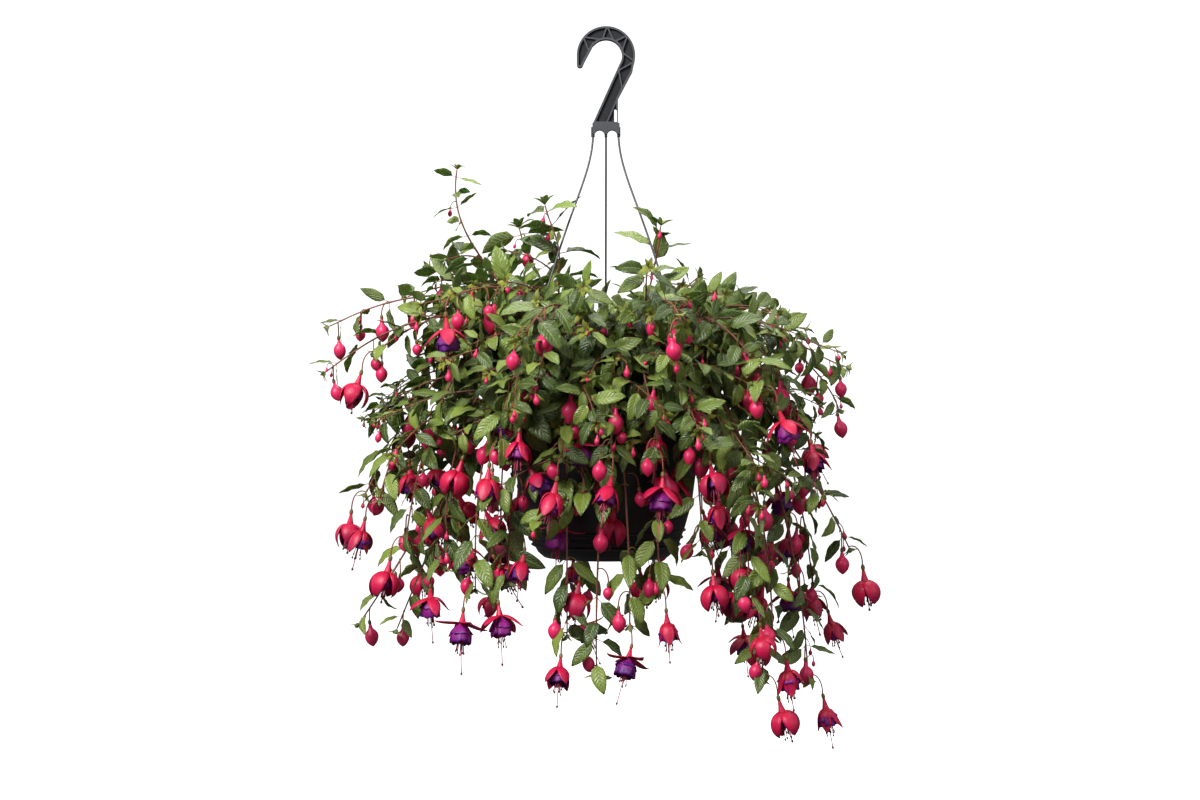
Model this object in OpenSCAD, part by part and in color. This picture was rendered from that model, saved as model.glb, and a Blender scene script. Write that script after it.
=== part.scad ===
// Trailing fuchsia growing in a hanging basket.
// Millimetres, +Z up, -Y towards the viewer. The origin is the centre of the hook's inner arc,
// where the rail or bracket that carries the basket passes through the hook.

/* [Hanger] */
// Inner radius of the hook, which fits a rail of the same radius
hook_r = 20; // [12:1:24]
// Radial depth of the hook's section at the crown
hook_depth = 16.5; // [14:0.5:20]
// Width of the hook along the rail
hook_w = 9; // [7:1:14]
// Thickness of the hook's web between its recessed faces
hook_web = 2.4; // [1.6:0.2:4]
// Diameter of each of the three strands
strand_d = 2.6; // [2:0.2:3.6]
// Height from the centre of the hook down to the top of the rim
rim_drop = 475; // [420:5:520]

/* [Basket] */
// Outer diameter of the rolled rim
rim_d = 250; // [230:5:270]
// Outer diameter of the wall just below the rim
wall_top_d = 236; // [216:2:240]
// Outer diameter of the flat base
base_d = 156; // [140:2:170]
// Height of the basket from its base to its rim
basket_h = 150; // [130:5:170]
// Thickness of the moulded wall
wall = 1.6; // [1.2:0.2:2.4]
// Number of drain holes around the base
drain_holes = 6; // [4:1:10]
// Diameter of each drain hole
drain_d = 9; // [6:1:12]
// Depth of the growing medium's surface below the rim
headspace = 16; // [10:1:30]

/* [Plant] */
// Diameter of a stem where it leaves its crown
stem_d = 4; // [3:0.5:6]
// Diameter of a stem at its growing tip
tip_d = 2; // [1.6:0.2:3]
// Length of the largest leaves
leaf_l = 54; // [40:1:60]
// Width of a leaf as a part of its length
leaf_ratio = 0.46; // [0.35:0.01:0.6]
// Thickness of a leaf blade
leaf_t = 0.8; // [0.6:0.1:1.2]
// Leaf pairs along each stem
leaf_pairs = 4; // [4:1:5]
// Distance of the three crowns from the basket's axis
crown_spread = 45; // [30:1:55]

/* [Flowers] */
// Length of the stalk that an open flower hangs on
flower_stalk = 28; // [20:1:40]
// Radius of the open sepals
sepal_r = 19; // [14:1:24]
// Radius of the skirt of petals
skirt_r = 11.5; // [9:0.5:14]
// Length of the pistil below the petals
pistil_l = 32; // [20:1:40]
// Length of the stalk that a bud hangs on
bud_stalk = 20; // [14:1:30]
// Length of a bud
bud_l = 34; // [16:1:40]
// Radius of a bud at its fullest
bud_r = 9.8; // [5:0.2:11]

/* [Hidden] */

// Hanger
HOOK_OUTER = hook_r + hook_depth;
HOOK_FLANGE = 2.4;
RIB_W = 1.8;
RIB_LINE = [[174, 0], [141, 1], [103, 0], [88, 1], [59, 0], [43, 1], [12, 0], [-12, 1]];
SHANK_RIB = [[17, -18], [16, -20], [20, -40], [1, -84]];
HOOK_CUT = [[0, 0], [-16, 13], [-28.8, -11], [-60, -11], [-40, -60], [18, -60], [26, -20], [18, -12]];
SHANK = [[17, -10.5], [34.5, -12], [33, -20], [15, -54], [15, -85], [-16.5, -85]];
TIP_CIRCLES = [[-32.6, -11, 3.9], [-30.5, 0, 6]];
SLOT_X = 12;
SLOT_W = 3.4;
SLOT_L = 16;
PLATE_W = 34;
PLATE_TOP = -84;
PLATE_BOTTOM = -98;
ARCH_R = 6.2;
ARCH_XS = [-8, 7.75];
STRAND_ROOTS = [[-16, 0], [15.5, 0], [0, 0]];
STRAND_NAMES = ["left", "right", "rear"];
LUG_AZIMUTHS = [210, 330, 90];
SOCKET_DEPTH = 6;
SOCKET_R = strand_d / 2 + 0.1;
ROOT_BOSS_R = 2.6;
ROOT_BOSS_L = 12;
ROOT_BOSS_DROP = 3;
STRAND_NECK = -165;
STRAND_BOW = [0.55, -200];
STRAND_SIDES = 8;
STRAND_STEPS = 12;

// Rim clips
LUG_R = rim_d / 2 + 4.5;
LUG_W = 16;
LUG_OUT = 9;
STRAP_W = 8;
STRAP_T = 2.2;
STRAP_L = 50;
CLIP_BOSS_H = 11;
BARB_L = 6;
BARB_OUT = 2;

// Basket
RIM_TOP = -rim_drop;
RIM_R = rim_d / 2;
BASE_Z = RIM_TOP - basket_h;
LIP_H = 8;
RING_HEIGHTS = [16, 25, 34];
RING_OUT = 1;
RING_H = 2.4;

// Plant
SOIL_Z = RIM_TOP - headspace;
SOIL_DOME = 6;
SOIL_GAP = 0.4;
CROWN_AZIMUTHS = [-90, 30, 150];
CROWN_R = 9;
CROWN_H = 24;
STEM_SIDES = 4;
STEM_STEPS = 2 * leaf_pairs;
LEAF_ROOT = 1.2;

// Each stem is [azimuth, reach, height of its tip, rise of its arch, height of the arch's
// shoulder above the tip, shoulder as a part of the reach, sideways swing, flowers, buds].
BRANCHES = [
    ["crest_left", [[-174, 185, -145, 150, -110, 1.06, 10, 0, 0]]],
    ["shoulder_left", [[176, 250, -300, 230, 20, 0.8, -10, 0, 1],
        [166, 228, -262, 200, -20, 0.75, 8, 0, 2]]],
    ["arm_left_high", [[-178, 343, -338, 245, 30, 0.8, 5, 0, 3],
        [-172, 346, -395, 235, 50, 0.8, -5, 0, 2]]],
    ["arm_left_low", [[-168, 285, -372, 222, 45, 0.8, 6, 1, 2]]],
    ["bunch_left_outer", [[180, 300, -545, 230, 125, 0.8, 8, 1, 3],
        [-170, 280, -550, 240, 160, 0.88, -6, 2, 3]]],
    ["bunch_left_middle", [[-161, 255, -595, 230, 220, 0.92, 5, 3, 3]]],
    ["bunch_left_low", [[-150, 222, -625, 220, 260, 0.97, 6, 4, 3],
        [-139, 203, -650, 220, 280, 1, -5, 4, 3]]],
    ["bunch_left_front", [[-128, 186, -640, 210, 280, 1, 5, 4, 3]]],
    ["sprig_left", [[-168, 305, -700, 240, 130, 0.68, 6, 0, 3],
        [-164, 262, -706, 230, 160, 0.74, -4, 0, 3]]],
    ["front_left_high", [[-144, 215, -305, 190, 20, 0.7, 0, 1, 3],
        [-127, 205, -480, 200, 140, 0.95, 4, 3, 3]]],
    ["front_high", [[-112, 250, -360, 200, 50, 0.8, 6, 0, 3],
        [-70, 250, -345, 190, 45, 0.8, -6, 0, 4]]],
    ["rim_left", [[-106, 185, -495, 180, 130, 0.95, 5, 2, 3]]],
    ["rim_middle", [[-88, 190, -490, 185, 120, 0.95, 0, 1, 4],
        [-72, 190, -490, 185, 130, 0.95, -4, 2, 3]]],
    ["rim_right", [[-57, 200, -478, 190, 115, 0.95, 0, 1, 4]]],
    ["trail_middle_left", [[-108, 152, -702, 190, 310, 1.1, 3, 3, 2],
        [-94, 150, -745, 180, 330, 1.1, 3, 0, 4]]],
    ["trail_middle_right", [[-80, 152, -690, 195, 310, 1.1, 1, 3, 2],
        [-66, 152, -650, 190, 280, 1.1, -3, 1, 4]]],
    ["trail_right", [[-51, 178, -605, 200, 240, 1, 0, 3, 4]]],
    ["bunch_right_inner", [[-44, 228, -665, 230, 280, 0.97, 4, 3, 3]]],
    ["bunch_right_long", [[-31, 218, -757, 240, 330, 1, 0, 4, 3],
        [-36, 240, -705, 240, 290, 0.97, 5, 3, 4]]],
    ["bunch_right_outer", [[-13, 252, -765, 240, 330, 0.95, 4, 2, 4]]],
    ["bunch_right_side", [[4, 262, -672, 240, 250, 0.92, 0, 2, 4]]],
    ["front_right_high", [[-40, 240, -415, 220, 80, 0.9, 4, 2, 3],
        [-24, 248, -455, 230, 110, 0.9, -4, 1, 4]]],
    ["arm_right_low", [[-4, 300, -612, 250, 125, 0.78, 0, 1, 2]]],
    ["arm_right_high", [[0, 300, -388, 235, 25, 0.75, 4, 0, 2],
        [8, 298, -440, 240, 80, 0.9, -4, 0, 3]]],
    ["shoulder_right", [[4, 222, -325, 200, 10, 0.75, -6, 0, 1],
        [14, 172, -300, 180, 0, 0.7, 6, 0, 1]]],
    ["top_left", [[-158, 80, -190, 180, -60, 0.8, 0, 0, 0],
        [160, 116, -212, 170, -60, 0.8, 8, 0, 1]]],
    ["top_right", [[-17, 70, -215, 170, -70, 0.8, 0, 0, 0],
        [16, 122, -275, 170, -30, 0.75, 6, 0, 1]]],
    ["rear_right", [[28, 285, -455, 230, 90, 0.85, 6, 1, 3],
        [38, 225, -330, 200, 20, 0.75, -6, 0, 2]]],
    ["bunch_rear_right", [[24, 268, -650, 230, 250, 0.95, 4, 3, 2],
        [48, 262, -715, 230, 300, 0.97, -4, 3, 3]]],
    ["rear_high", [[66, 200, -300, 180, 0, 0.7, 6, 0, 2],
        [112, 205, -310, 180, 10, 0.72, -6, 0, 2]]],
    ["rear_arm", [[84, 292, -440, 230, 90, 0.85, 5, 1, 3],
        [132, 295, -430, 230, 80, 0.85, -5, 1, 3]]],
    ["bunch_rear", [[74, 255, -640, 220, 240, 0.97, 4, 3, 2],
        [98, 245, -705, 220, 290, 1, -4, 3, 3]]],
    ["bunch_rear_left", [[124, 262, -665, 230, 260, 0.97, 5, 3, 3],
        [150, 270, -625, 230, 230, 0.93, -5, 2, 3]]],
];

// Flowers and buds are grouped by the side of the basket that they hang on.
SIDES = ["left", "front", "right", "rear"];
SIDE_STARTS = [-225, -135, -55, 20];
SIDE_ENDS = [-135, -55, 20, 135];
FLOWER_SPAN = 0.3;
FLOWER_TURNS = [0, 130, -130, 65];
BUD_SPAN = 0.36;
BUD_TURNS = [-90, 90, 20, 180];
BUD_SCALES = [0.75, 0.5, 1, 0.6];
STALK_LEAN = 40;
OVARY_L = 6;

// Each ring of a bud is [part of its radius, part of its length].
BUD_PROFILE = [[0.34, 0.12], [0.45, 0.27], [0.9, 0.42], [1, 0.56], [0.76, 0.8], [0, 1]];

CROWN_NAMES = ["crown_front", "crown_right", "crown_left"];

// Points and directions
function unit(v) = v / norm(v);
function polar(azimuth, r, z) = [r * cos(azimuth), r * sin(azimuth), z];
function bezier(c, t) = pow(1 - t, 3) * c[0] + 3 * t * pow(1 - t, 2) * c[1]
    + 3 * t * t * (1 - t) * c[2] + pow(t, 3) * c[3];
function slope(c, t) = unit(bezier(c, min(t + 0.01, 1)) - bezier(c, min(t + 0.01, 1) - 0.02));
function turn_gap(a, b) = abs((((a - b) % 360) + 540) % 360 - 180);
function crown_for(azimuth) = [for (c = CROWN_AZIMUTHS) if (turn_gap(azimuth, c) <= 60) c][0];

// The stems of a branch leave its crown at one point, on the side that its first stem grows to.
function branch_base(b) = let (s = b[1][0])
    polar(crown_for(s[0]), crown_spread, SOIL_Z + CROWN_H - 2) + polar(s[0] + s[6], CROWN_R - 4, 0);

// A stem climbs from its base, arches over the rim and ends at its tip.
function stem_controls(s, base) = [
    base,
    base + polar(s[0] + s[6], 0.2 * s[1], s[3]),
    polar(s[0], s[5] * s[1], s[2] + s[4]),
    polar(s[0], s[1], s[2])
];

// A place on a stem's own run of straight lengths, so that what hangs there meets the stem.
function on_stem(c, t) = let (i = min(floor(t * STEM_STEPS), STEM_STEPS - 1), part = t * STEM_STEPS - i)
    bezier(c, i / STEM_STEPS) * (1 - part) + bezier(c, (i + 1) / STEM_STEPS) * part;

// A strand leaves the hook straight down and bows out to its lug on the rim.
function strand_end(i) = polar(LUG_AZIMUTHS[i], LUG_R, RIM_TOP + 4);
function strand_controls(i) = [
    [STRAND_ROOTS[i][0], 0, PLATE_BOTTOM + SOCKET_DEPTH - 1],
    [STRAND_ROOTS[i][0], 0, STRAND_NECK],
    [strand_end(i)[0] * STRAND_BOW[0], strand_end(i)[1] * STRAND_BOW[0], STRAND_BOW[1]],
    strand_end(i)
];

// A round tube through points, tapering from one radius to another.
module tube(points, side, r0, r1, sides) {
    last = len(points) - 1;
    rings = [for (i = [0 : last])
        let (along = unit(points[min(i + 1, last)] - points[max(i - 1, 0)]),
            up = unit(cross(along, side)),
            across = cross(up, along),
            r = r0 + (r1 - r0) * i / last)
        for (k = [0 : sides - 1])
            points[i] + r * (cos(360 * k / sides) * across + sin(360 * k / sides) * up)];
    walls = [for (i = [0 : last - 1]) for (k = [0 : sides - 1])
        let (a = i * sides + k, b = i * sides + (k + 1) % sides)
        [a, a + sides, b + sides, b]];
    ends = [[for (k = [0 : sides - 1]) k], [for (k = [0 : sides - 1]) (last + 1) * sides - 1 - k]];
    polyhedron(rings, concat(walls, ends));
}

// Hanger
// The hook's arc narrows to a rounded tip on its open side and runs into a slanting shank.
module hook_outline() {
    difference() {
        circle(HOOK_OUTER, $fn = 96);
        circle(hook_r, $fn = 96);
        polygon(HOOK_CUT);
    }
    hull() for (c = TIP_CIRCLES) {
        translate([c[0], c[1]]) circle(c[2], $fn = 32);
    }
    polygon(SHANK);
}

// A straight rib from one point to another.
module rib(p, q) {
    translate(p) rotate(atan2(q[1] - p[1], q[0] - p[0])) translate([0, -RIB_W / 2])
        square([norm(q - p), RIB_W]);
}

// One rib zigzags along the arc between its inner and outer flange, and one runs down the shank.
module hook_ribs() {
    arc = [for (p = RIB_LINE) (hook_r + p[1] * hook_depth) * [cos(p[0]), sin(p[0])]];
    points = concat(arc, SHANK_RIB);
    for (i = [1 : len(points) - 1]) {
        rib(points[i - 1], points[i]);
    }
}

module hook() {
    color("#2b2c2e") difference() {
        union() {
            rotate([90, 0, 0]) {
                linear_extrude(hook_web, center = true) hook_outline();
                difference() {
                    linear_extrude(hook_w, center = true) hook_outline();
                    linear_extrude(hook_w + 1, center = true) difference() {
                        offset(delta = -HOOK_FLANGE) hook_outline();
                        hook_ribs();
                    }
                }
            }
            translate([-PLATE_W / 2, -hook_w / 2, PLATE_BOTTOM])
                cube([PLATE_W, hook_w, PLATE_TOP - PLATE_BOTTOM]);
            for (p = STRAND_ROOTS) {
                translate([p[0], 0, PLATE_BOTTOM - ROOT_BOSS_DROP])
                    cylinder(ROOT_BOSS_L, ROOT_BOSS_R, ROOT_BOSS_R, $fn = 32);
            }
        }
        for (x = ARCH_XS) {
            translate([x, 0, PLATE_BOTTOM - 1]) rotate([90, 0, 0])
                cylinder(hook_w + 2, ARCH_R, ARCH_R, center = true, $fn = 48);
        }
        translate([SLOT_X - SLOT_W / 2, -hook_w / 2 - 1, PLATE_TOP + 1]) cube([SLOT_W, hook_w + 2, SLOT_L]);
        for (p = STRAND_ROOTS) {
            translate([p[0], 0, PLATE_BOTTOM - ROOT_BOSS_DROP - 1])
                cylinder(ROOT_BOSS_DROP + SOCKET_DEPTH + 1, SOCKET_R, SOCKET_R, $fn = 24);
        }
    }
}

module strand(i) {
    points = [for (k = [0 : STRAND_STEPS]) bezier(strand_controls(i), k / STRAND_STEPS)];
    side = [-sin(LUG_AZIMUTHS[i]), cos(LUG_AZIMUTHS[i]), 0];
    color("#343537") tube(points, side, strand_d / 2, strand_d / 2, STRAND_SIDES);
}

module rim_clip(i) {
    color("#2f3032") rotate(LUG_AZIMUTHS[i]) translate([LUG_R, 0, RIM_TOP]) {
        translate([-STRAP_T / 2, -STRAP_W / 2, -STRAP_L]) cube([STRAP_T, STRAP_W, STRAP_L + 1]);
        translate([-STRAP_T / 2, -LUG_W / 2 + 1, 0]) cube([STRAP_T, LUG_W - 2, 2]);
        translate([-STRAP_T / 2, -STRAP_W / 2, -STRAP_L]) hull() {
            cube([STRAP_T, STRAP_W, 1]);
            translate([0, 0, BARB_L]) cube([STRAP_T + BARB_OUT, STRAP_W, 1]);
        }
        difference() {
            translate([0, 0, 0.1]) cylinder(CLIP_BOSS_H, 3.6, 2.6, $fn = 32);
            translate([0, 0, 2]) cylinder(CLIP_BOSS_H, SOCKET_R, SOCKET_R, $fn = 24);
        }
    }
}

// Basket
function wall_profile(inset) = [
    [wall_top_d / 2 - inset, basket_h - wall],
    [wall_top_d / 2 - 10.5 - inset, basket_h - 82],
    [base_d / 2 + 21 - inset, 38],
    [base_d / 2 + 14 - inset, 18],
    [base_d / 2 + 7 - inset, 6 + inset / 2],
    [base_d / 2 - inset / 2, inset]
];

module basket_ring(height) {
    r = base_d / 2 + 10.5 + 0.35 * height - 1.6;
    rotate_extrude($fn = 120) polygon([[r - 1.2, height - RING_H], [r + RING_OUT, height - RING_H / 2],
        [r + RING_OUT, height], [r - 1.2, height + RING_H / 2]]);
}

module basket() {
    color("#1d1e20") translate([0, 0, BASE_Z]) difference() {
        union() {
            rotate_extrude($fn = 120) polygon(concat(
                [[wall_top_d / 2 - wall, basket_h], [RIM_R, basket_h], [RIM_R, basket_h - LIP_H],
                    [RIM_R - wall, basket_h - LIP_H], [RIM_R - wall, basket_h - wall]],
                wall_profile(0),
                [[0, 0], [0, wall]],
                [for (i = [5 : -1 : 1]) wall_profile(wall)[i]]
            ));
            for (h = RING_HEIGHTS) {
                basket_ring(h);
            }
            for (a = LUG_AZIMUTHS) {
                rotate(a) translate([RIM_R - wall, -LUG_W / 2, basket_h - 3]) cube([LUG_OUT, LUG_W, 3]);
            }
        }
        for (a = LUG_AZIMUTHS) {
            rotate(a) translate([LUG_R - STRAP_T / 2 - 0.3, -STRAP_W / 2 - 0.4, basket_h - 4])
                cube([STRAP_T + 0.6, STRAP_W + 0.8, 5]);
        }
        for (k = [0 : drain_holes - 1]) {
            rotate(360 * k / drain_holes) translate([base_d / 3, 0, -1])
                cylinder(wall + 3, drain_d / 2, drain_d / 2, $fn = 32);
        }
    }
}

module growing_medium() {
    inner = wall_profile(wall + SOIL_GAP);
    top = basket_h - headspace;
    color("#3a2a1e") translate([0, 0, BASE_Z]) rotate_extrude($fn = 96) polygon(concat(
        [[0, wall], [0, top + SOIL_DOME], [40, top + SOIL_DOME - 1], [wall_top_d / 2 - wall - 12, top]],
        [[wall_top_d / 2 - wall - 4, top - 3]],
        [for (i = [1 : 4]) inner[i]],
        [[inner[5][0], wall]]
    ));
}

// Plant
module crown(azimuth) {
    color("#6b4a35") translate(polar(azimuth, crown_spread, SOIL_Z)) rotate_extrude($fn = 32)
        polygon([[0, 2], [CROWN_R + 3, 2], [CROWN_R + 1, 8], [CROWN_R - 1, 15],
            [CROWN_R, CROWN_H - 4], [CROWN_R - 3, CROWN_H], [0, CROWN_H + 1]]);
}

module leaf(at, along, length) {
    x = unit(along);
    y = unit(cross([0, 0, 1], x));
    z = cross(x, y);
    m = [[x[0], y[0], z[0], at[0]], [x[1], y[1], z[1], at[1]], [x[2], y[2], z[2], at[2]], [0, 0, 0, 1]];
    half = length * leaf_ratio / 2;
    multmatrix(m) hull() linear_extrude(leaf_t, center = true)
        polygon([[0, 0], [0.42 * length, -half], [length, 0], [0.42 * length, half]]);
}

module stem(s, base) {
    c = stem_controls(s, base);
    side = [-sin(s[0]), cos(s[0]), 0];
    tube([for (k = [0 : STEM_STEPS]) bezier(c, k / STEM_STEPS)], side, stem_d / 2, tip_d / 2, STEM_SIDES);
    for (k = [1 : leaf_pairs]) {
        t = k / leaf_pairs;
        along = slope(c, t);
        across = k % 2 == 0 ? side : unit(cross(along, side));
        for (way = [-1, 1]) {
            leaf(bezier(c, t) - LEAF_ROOT * along, way * across + 0.5 * along + [0.01, 0.02, -0.15],
                leaf_l * (1.1 - 0.4 * t));
        }
    }
}

module branch(b) {
    color("#4f7a3a") union() for (s = b[1]) stem(s, branch_base(b));
}

// Flowers and buds hang straight down from the last part of each stem, on stalks that lean away
// from the stem in turn.
function leaning(length, azimuth) = polar(azimuth, length * sin(STALK_LEAN), -length * cos(STALK_LEAN));

module stalk(length, azimuth) {
    rotate([0, 180 - STALK_LEAN, azimuth]) cylinder(length + 1, 0.8, 0.8, $fn = 24);
}

module flower() {
    rotate_extrude($fn = 32) polygon([
        [0, 0], [2.2, -2], [2, -6], [3.6, -8], [4.8, -18],
        [sepal_r, -24], [sepal_r, -28], [skirt_r, -30], [skirt_r, -44], [3, -46],
        [1, -48], [1, -45 - pistil_l], [1.8, -46 - pistil_l], [0, -48 - pistil_l]]);
}

module bud(size) {
    rotate_extrude($fn = 32) polygon([
        [0, 0], [2, -2], [2.2, -OVARY_L],
        for (p = BUD_PROFILE) [p[0] * size * bud_r, -OVARY_L - p[1] * size * bud_l]]);
}

function on_side(s, i) = [for (turn = [-360, 0])
    if (s[0] + turn >= SIDE_STARTS[i] && s[0] + turn < SIDE_ENDS[i]) 1] != [];

module flowers(i) {
    color("#d01848") for (b = BRANCHES) for (s = b[1]) if (on_side(s, i) && s[7] > 0) {
        for (k = [0 : s[7] - 1]) {
            azimuth = s[0] + FLOWER_TURNS[k % 4];
            translate(on_stem(stem_controls(s, branch_base(b)), 1 - FLOWER_SPAN * k / s[7])) {
                stalk(flower_stalk, azimuth);
                translate(leaning(flower_stalk, azimuth)) flower();
            }
        }
    }
}

module buds(i) {
    color("#e0306a") for (b = BRANCHES) for (s = b[1]) if (on_side(s, i) && s[8] > 0) {
        for (k = [0 : s[8] - 1]) {
            azimuth = s[0] + BUD_TURNS[k % 4];
            translate(on_stem(stem_controls(s, branch_base(b)), 0.96 - BUD_SPAN * k / s[8])) {
                stalk(bud_stalk, azimuth);
                translate(leaning(bud_stalk, azimuth)) bud(BUD_SCALES[k % 4]);
            }
        }
    }
}

hook();
basket();
growing_medium();
for (i = [0 : 2]) {
    strand(i);
    rim_clip(i);
    crown(CROWN_AZIMUTHS[i]);
}
for (b = BRANCHES) {
    branch(b);
}
for (i = [0 : 3]) {
    flowers(i);
    buds(i);
}
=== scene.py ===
"""Looks of a trailing fuchsia in a hanging basket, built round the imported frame.

Every length is in metres and every angle in degrees, unless a name says otherwise. The frame's
origin is the centre of the hook's inner arc, +Z is up and the viewer stands towards -Y.
"""
import logging
import math
from dataclasses import dataclass, field
from enum import Enum

import bmesh
import bpy
import numpy as np
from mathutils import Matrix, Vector


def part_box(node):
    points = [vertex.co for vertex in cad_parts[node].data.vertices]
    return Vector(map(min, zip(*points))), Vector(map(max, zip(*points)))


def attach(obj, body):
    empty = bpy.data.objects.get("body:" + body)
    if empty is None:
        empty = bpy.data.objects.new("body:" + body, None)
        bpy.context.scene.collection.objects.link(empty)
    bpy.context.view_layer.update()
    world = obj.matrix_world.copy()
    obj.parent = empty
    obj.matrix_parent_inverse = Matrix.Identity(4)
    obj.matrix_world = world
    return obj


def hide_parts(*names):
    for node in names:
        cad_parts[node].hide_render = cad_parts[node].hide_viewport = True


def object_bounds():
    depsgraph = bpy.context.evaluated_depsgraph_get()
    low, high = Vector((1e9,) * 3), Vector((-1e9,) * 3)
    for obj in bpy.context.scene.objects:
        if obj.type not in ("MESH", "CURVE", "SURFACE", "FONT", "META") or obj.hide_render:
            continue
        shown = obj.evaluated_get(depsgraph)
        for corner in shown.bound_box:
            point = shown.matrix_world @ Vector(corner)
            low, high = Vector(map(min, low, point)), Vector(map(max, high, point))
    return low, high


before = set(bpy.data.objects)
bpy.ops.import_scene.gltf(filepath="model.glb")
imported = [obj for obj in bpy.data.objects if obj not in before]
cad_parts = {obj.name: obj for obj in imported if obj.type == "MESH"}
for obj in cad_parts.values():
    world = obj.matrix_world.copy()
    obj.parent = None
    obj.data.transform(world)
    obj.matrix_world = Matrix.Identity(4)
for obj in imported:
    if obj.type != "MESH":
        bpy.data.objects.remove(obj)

CAD_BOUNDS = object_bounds()
BODY = "root"
UP = np.array((0.0, 0.0, 1.0))
EAST = np.array((1.0, 0.0, 0.0))
LOG = logging.getLogger("fuchsia")


# ---------------------------------------------------------------- shader maths

class Value:
    """A shader socket that Python's operators work on."""

    def __init__(self, graph: "Graph", socket: bpy.types.NodeSocket) -> None:
        """Wraps an output socket of a graph."""
        self.graph = graph
        self.socket = socket

    def _math(self, operation: str, *inputs: "Value | float") -> "Value":
        """Adds one Math node of this operation over these inputs, and returns its result."""
        return self.graph.value("ShaderNodeMath", {"operation": operation}, dict(enumerate(inputs)))

    def __add__(self, other: "Value | float") -> "Value":
        """This plus other."""
        return self._math("ADD", self, other)

    def __radd__(self, other: float) -> "Value":
        """Other plus this."""
        return self._math("ADD", other, self)

    def __sub__(self, other: "Value | float") -> "Value":
        """This less other."""
        return self._math("SUBTRACT", self, other)

    def __rsub__(self, other: float) -> "Value":
        """Other less this."""
        return self._math("SUBTRACT", other, self)

    def __mul__(self, other: "Value | float") -> "Value":
        """This times other."""
        return self._math("MULTIPLY", self, other)

    def __rmul__(self, other: float) -> "Value":
        """Other times this."""
        return self._math("MULTIPLY", other, self)

    def __abs__(self) -> "Value":
        """This without its sign."""
        return self._math("ABSOLUTE", self)

    def fraction(self) -> "Value":
        """This less its whole part."""
        return self._math("FRACT", self)

    def zigzag(self) -> "Value":
        """How far this is from the middle of its whole step, from 0 to a half."""
        return abs(self.fraction() - 0.5)

    def step(self, low: float, high: float) -> "Value":
        """A smooth rise from 0 at low to 1 at high, or a fall if high is the lower of the two."""
        settings = {"interpolation_type": "SMOOTHSTEP"}
        return self.graph.value("ShaderNodeMapRange", settings, {0: self, 1: low, 2: high})


class Graph:
    """The node tree of one material."""

    def __init__(self, name: str) -> None:
        """Makes an empty material.

        Args:
            name: The material's name.
        """
        self.material = bpy.data.materials.new(name)
        self.material.use_nodes = True
        self.tree = self.material.node_tree
        self.tree.nodes.clear()

    def node(self, kind: str, settings: dict | None = None, inputs: dict | None = None) -> bpy.types.Node:
        """Adds a node, sets its settings first and then its sockets.

        Args:
            kind: The node's type.
            settings: The node's own properties.
            inputs: A value or a Value for each socket, by its name or its place in the list.

        Returns:
            The new node.
        """
        made = self.tree.nodes.new(kind)
        for key, setting in (settings or {}).items():
            setattr(made, key, setting)
        for key, given in (inputs or {}).items():
            if isinstance(given, Value):
                self.tree.links.new(given.socket, made.inputs[key])
            else:
                made.inputs[key].default_value = given
        return made

    def value(self, kind: str, settings: dict | None = None, inputs: dict | None = None,
              output: int | str = 0) -> Value:
        """Adds a node as node() does, and returns one of its outputs as a Value."""
        return Value(self, self.node(kind, settings, inputs).outputs[output])

    def mark(self, channel: str) -> Value:
        """Reads one channel of the mesh's own marks: X runs along a part, Y across it, Z is its tone."""
        marks = self.value("ShaderNodeAttribute", {"attribute_name": "mark"}, None, "Vector")
        return self.value("ShaderNodeSeparateXYZ", None, {0: marks}, channel)

    def place(self, channel: str) -> Value:
        """Reads one of the object's own coordinates, in metres."""
        place = self.value("ShaderNodeTexCoord", None, None, "Object")
        return self.value("ShaderNodeSeparateXYZ", None, {0: place}, channel)

    def noise(self, scale: float, detail: float = 3.0, roughness: float = 0.55) -> Value:
        """Noise over the object's own coordinates.

        Args:
            scale: Its waves a metre.
            detail: How many finer layers it has.
            roughness: How strong the finer layers are.

        Returns:
            The noise, from 0 to 1.
        """
        place = self.value("ShaderNodeTexCoord", None, None, "Object")
        inputs = {"Vector": place, "Scale": scale, "Detail": detail, "Roughness": roughness}
        return self.value("ShaderNodeTexNoise", None, inputs, "Fac")

    def blend(self, factor: "Value | float", first: "Value | tuple", second: "Value | tuple") -> Value:
        """A mix of two colours, each of three numbers or a Value, with this much of the second."""
        ends = [c if isinstance(c, Value) else (*c, 1.0) for c in (first, second)]
        return self.value("ShaderNodeMix", {"data_type": "RGBA"}, {0: factor, 6: ends[0], 7: ends[1]}, 2)

    def bump(self, height: Value, distance: float, strength: float = 1.0) -> Value:
        """A normal that a height map tilts, where 1 in the map stands this distance proud."""
        inputs = {"Height": height, "Distance": distance, "Strength": strength}
        return self.value("ShaderNodeBump", None, inputs, "Normal")

    def finish(self, inputs: dict) -> bpy.types.Material:
        """Adds the surface shader and joins it to the output.

        Args:
            inputs: A number, a colour or a Value for each of the shader's sockets.

        Returns:
            The finished material.
        """
        shader = self.value("ShaderNodeBsdfPrincipled", None, inputs, "BSDF")
        self.node("ShaderNodeOutputMaterial", None, {"Surface": shader})
        return self.material


# ---------------------------------------------------------------- finishes

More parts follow.
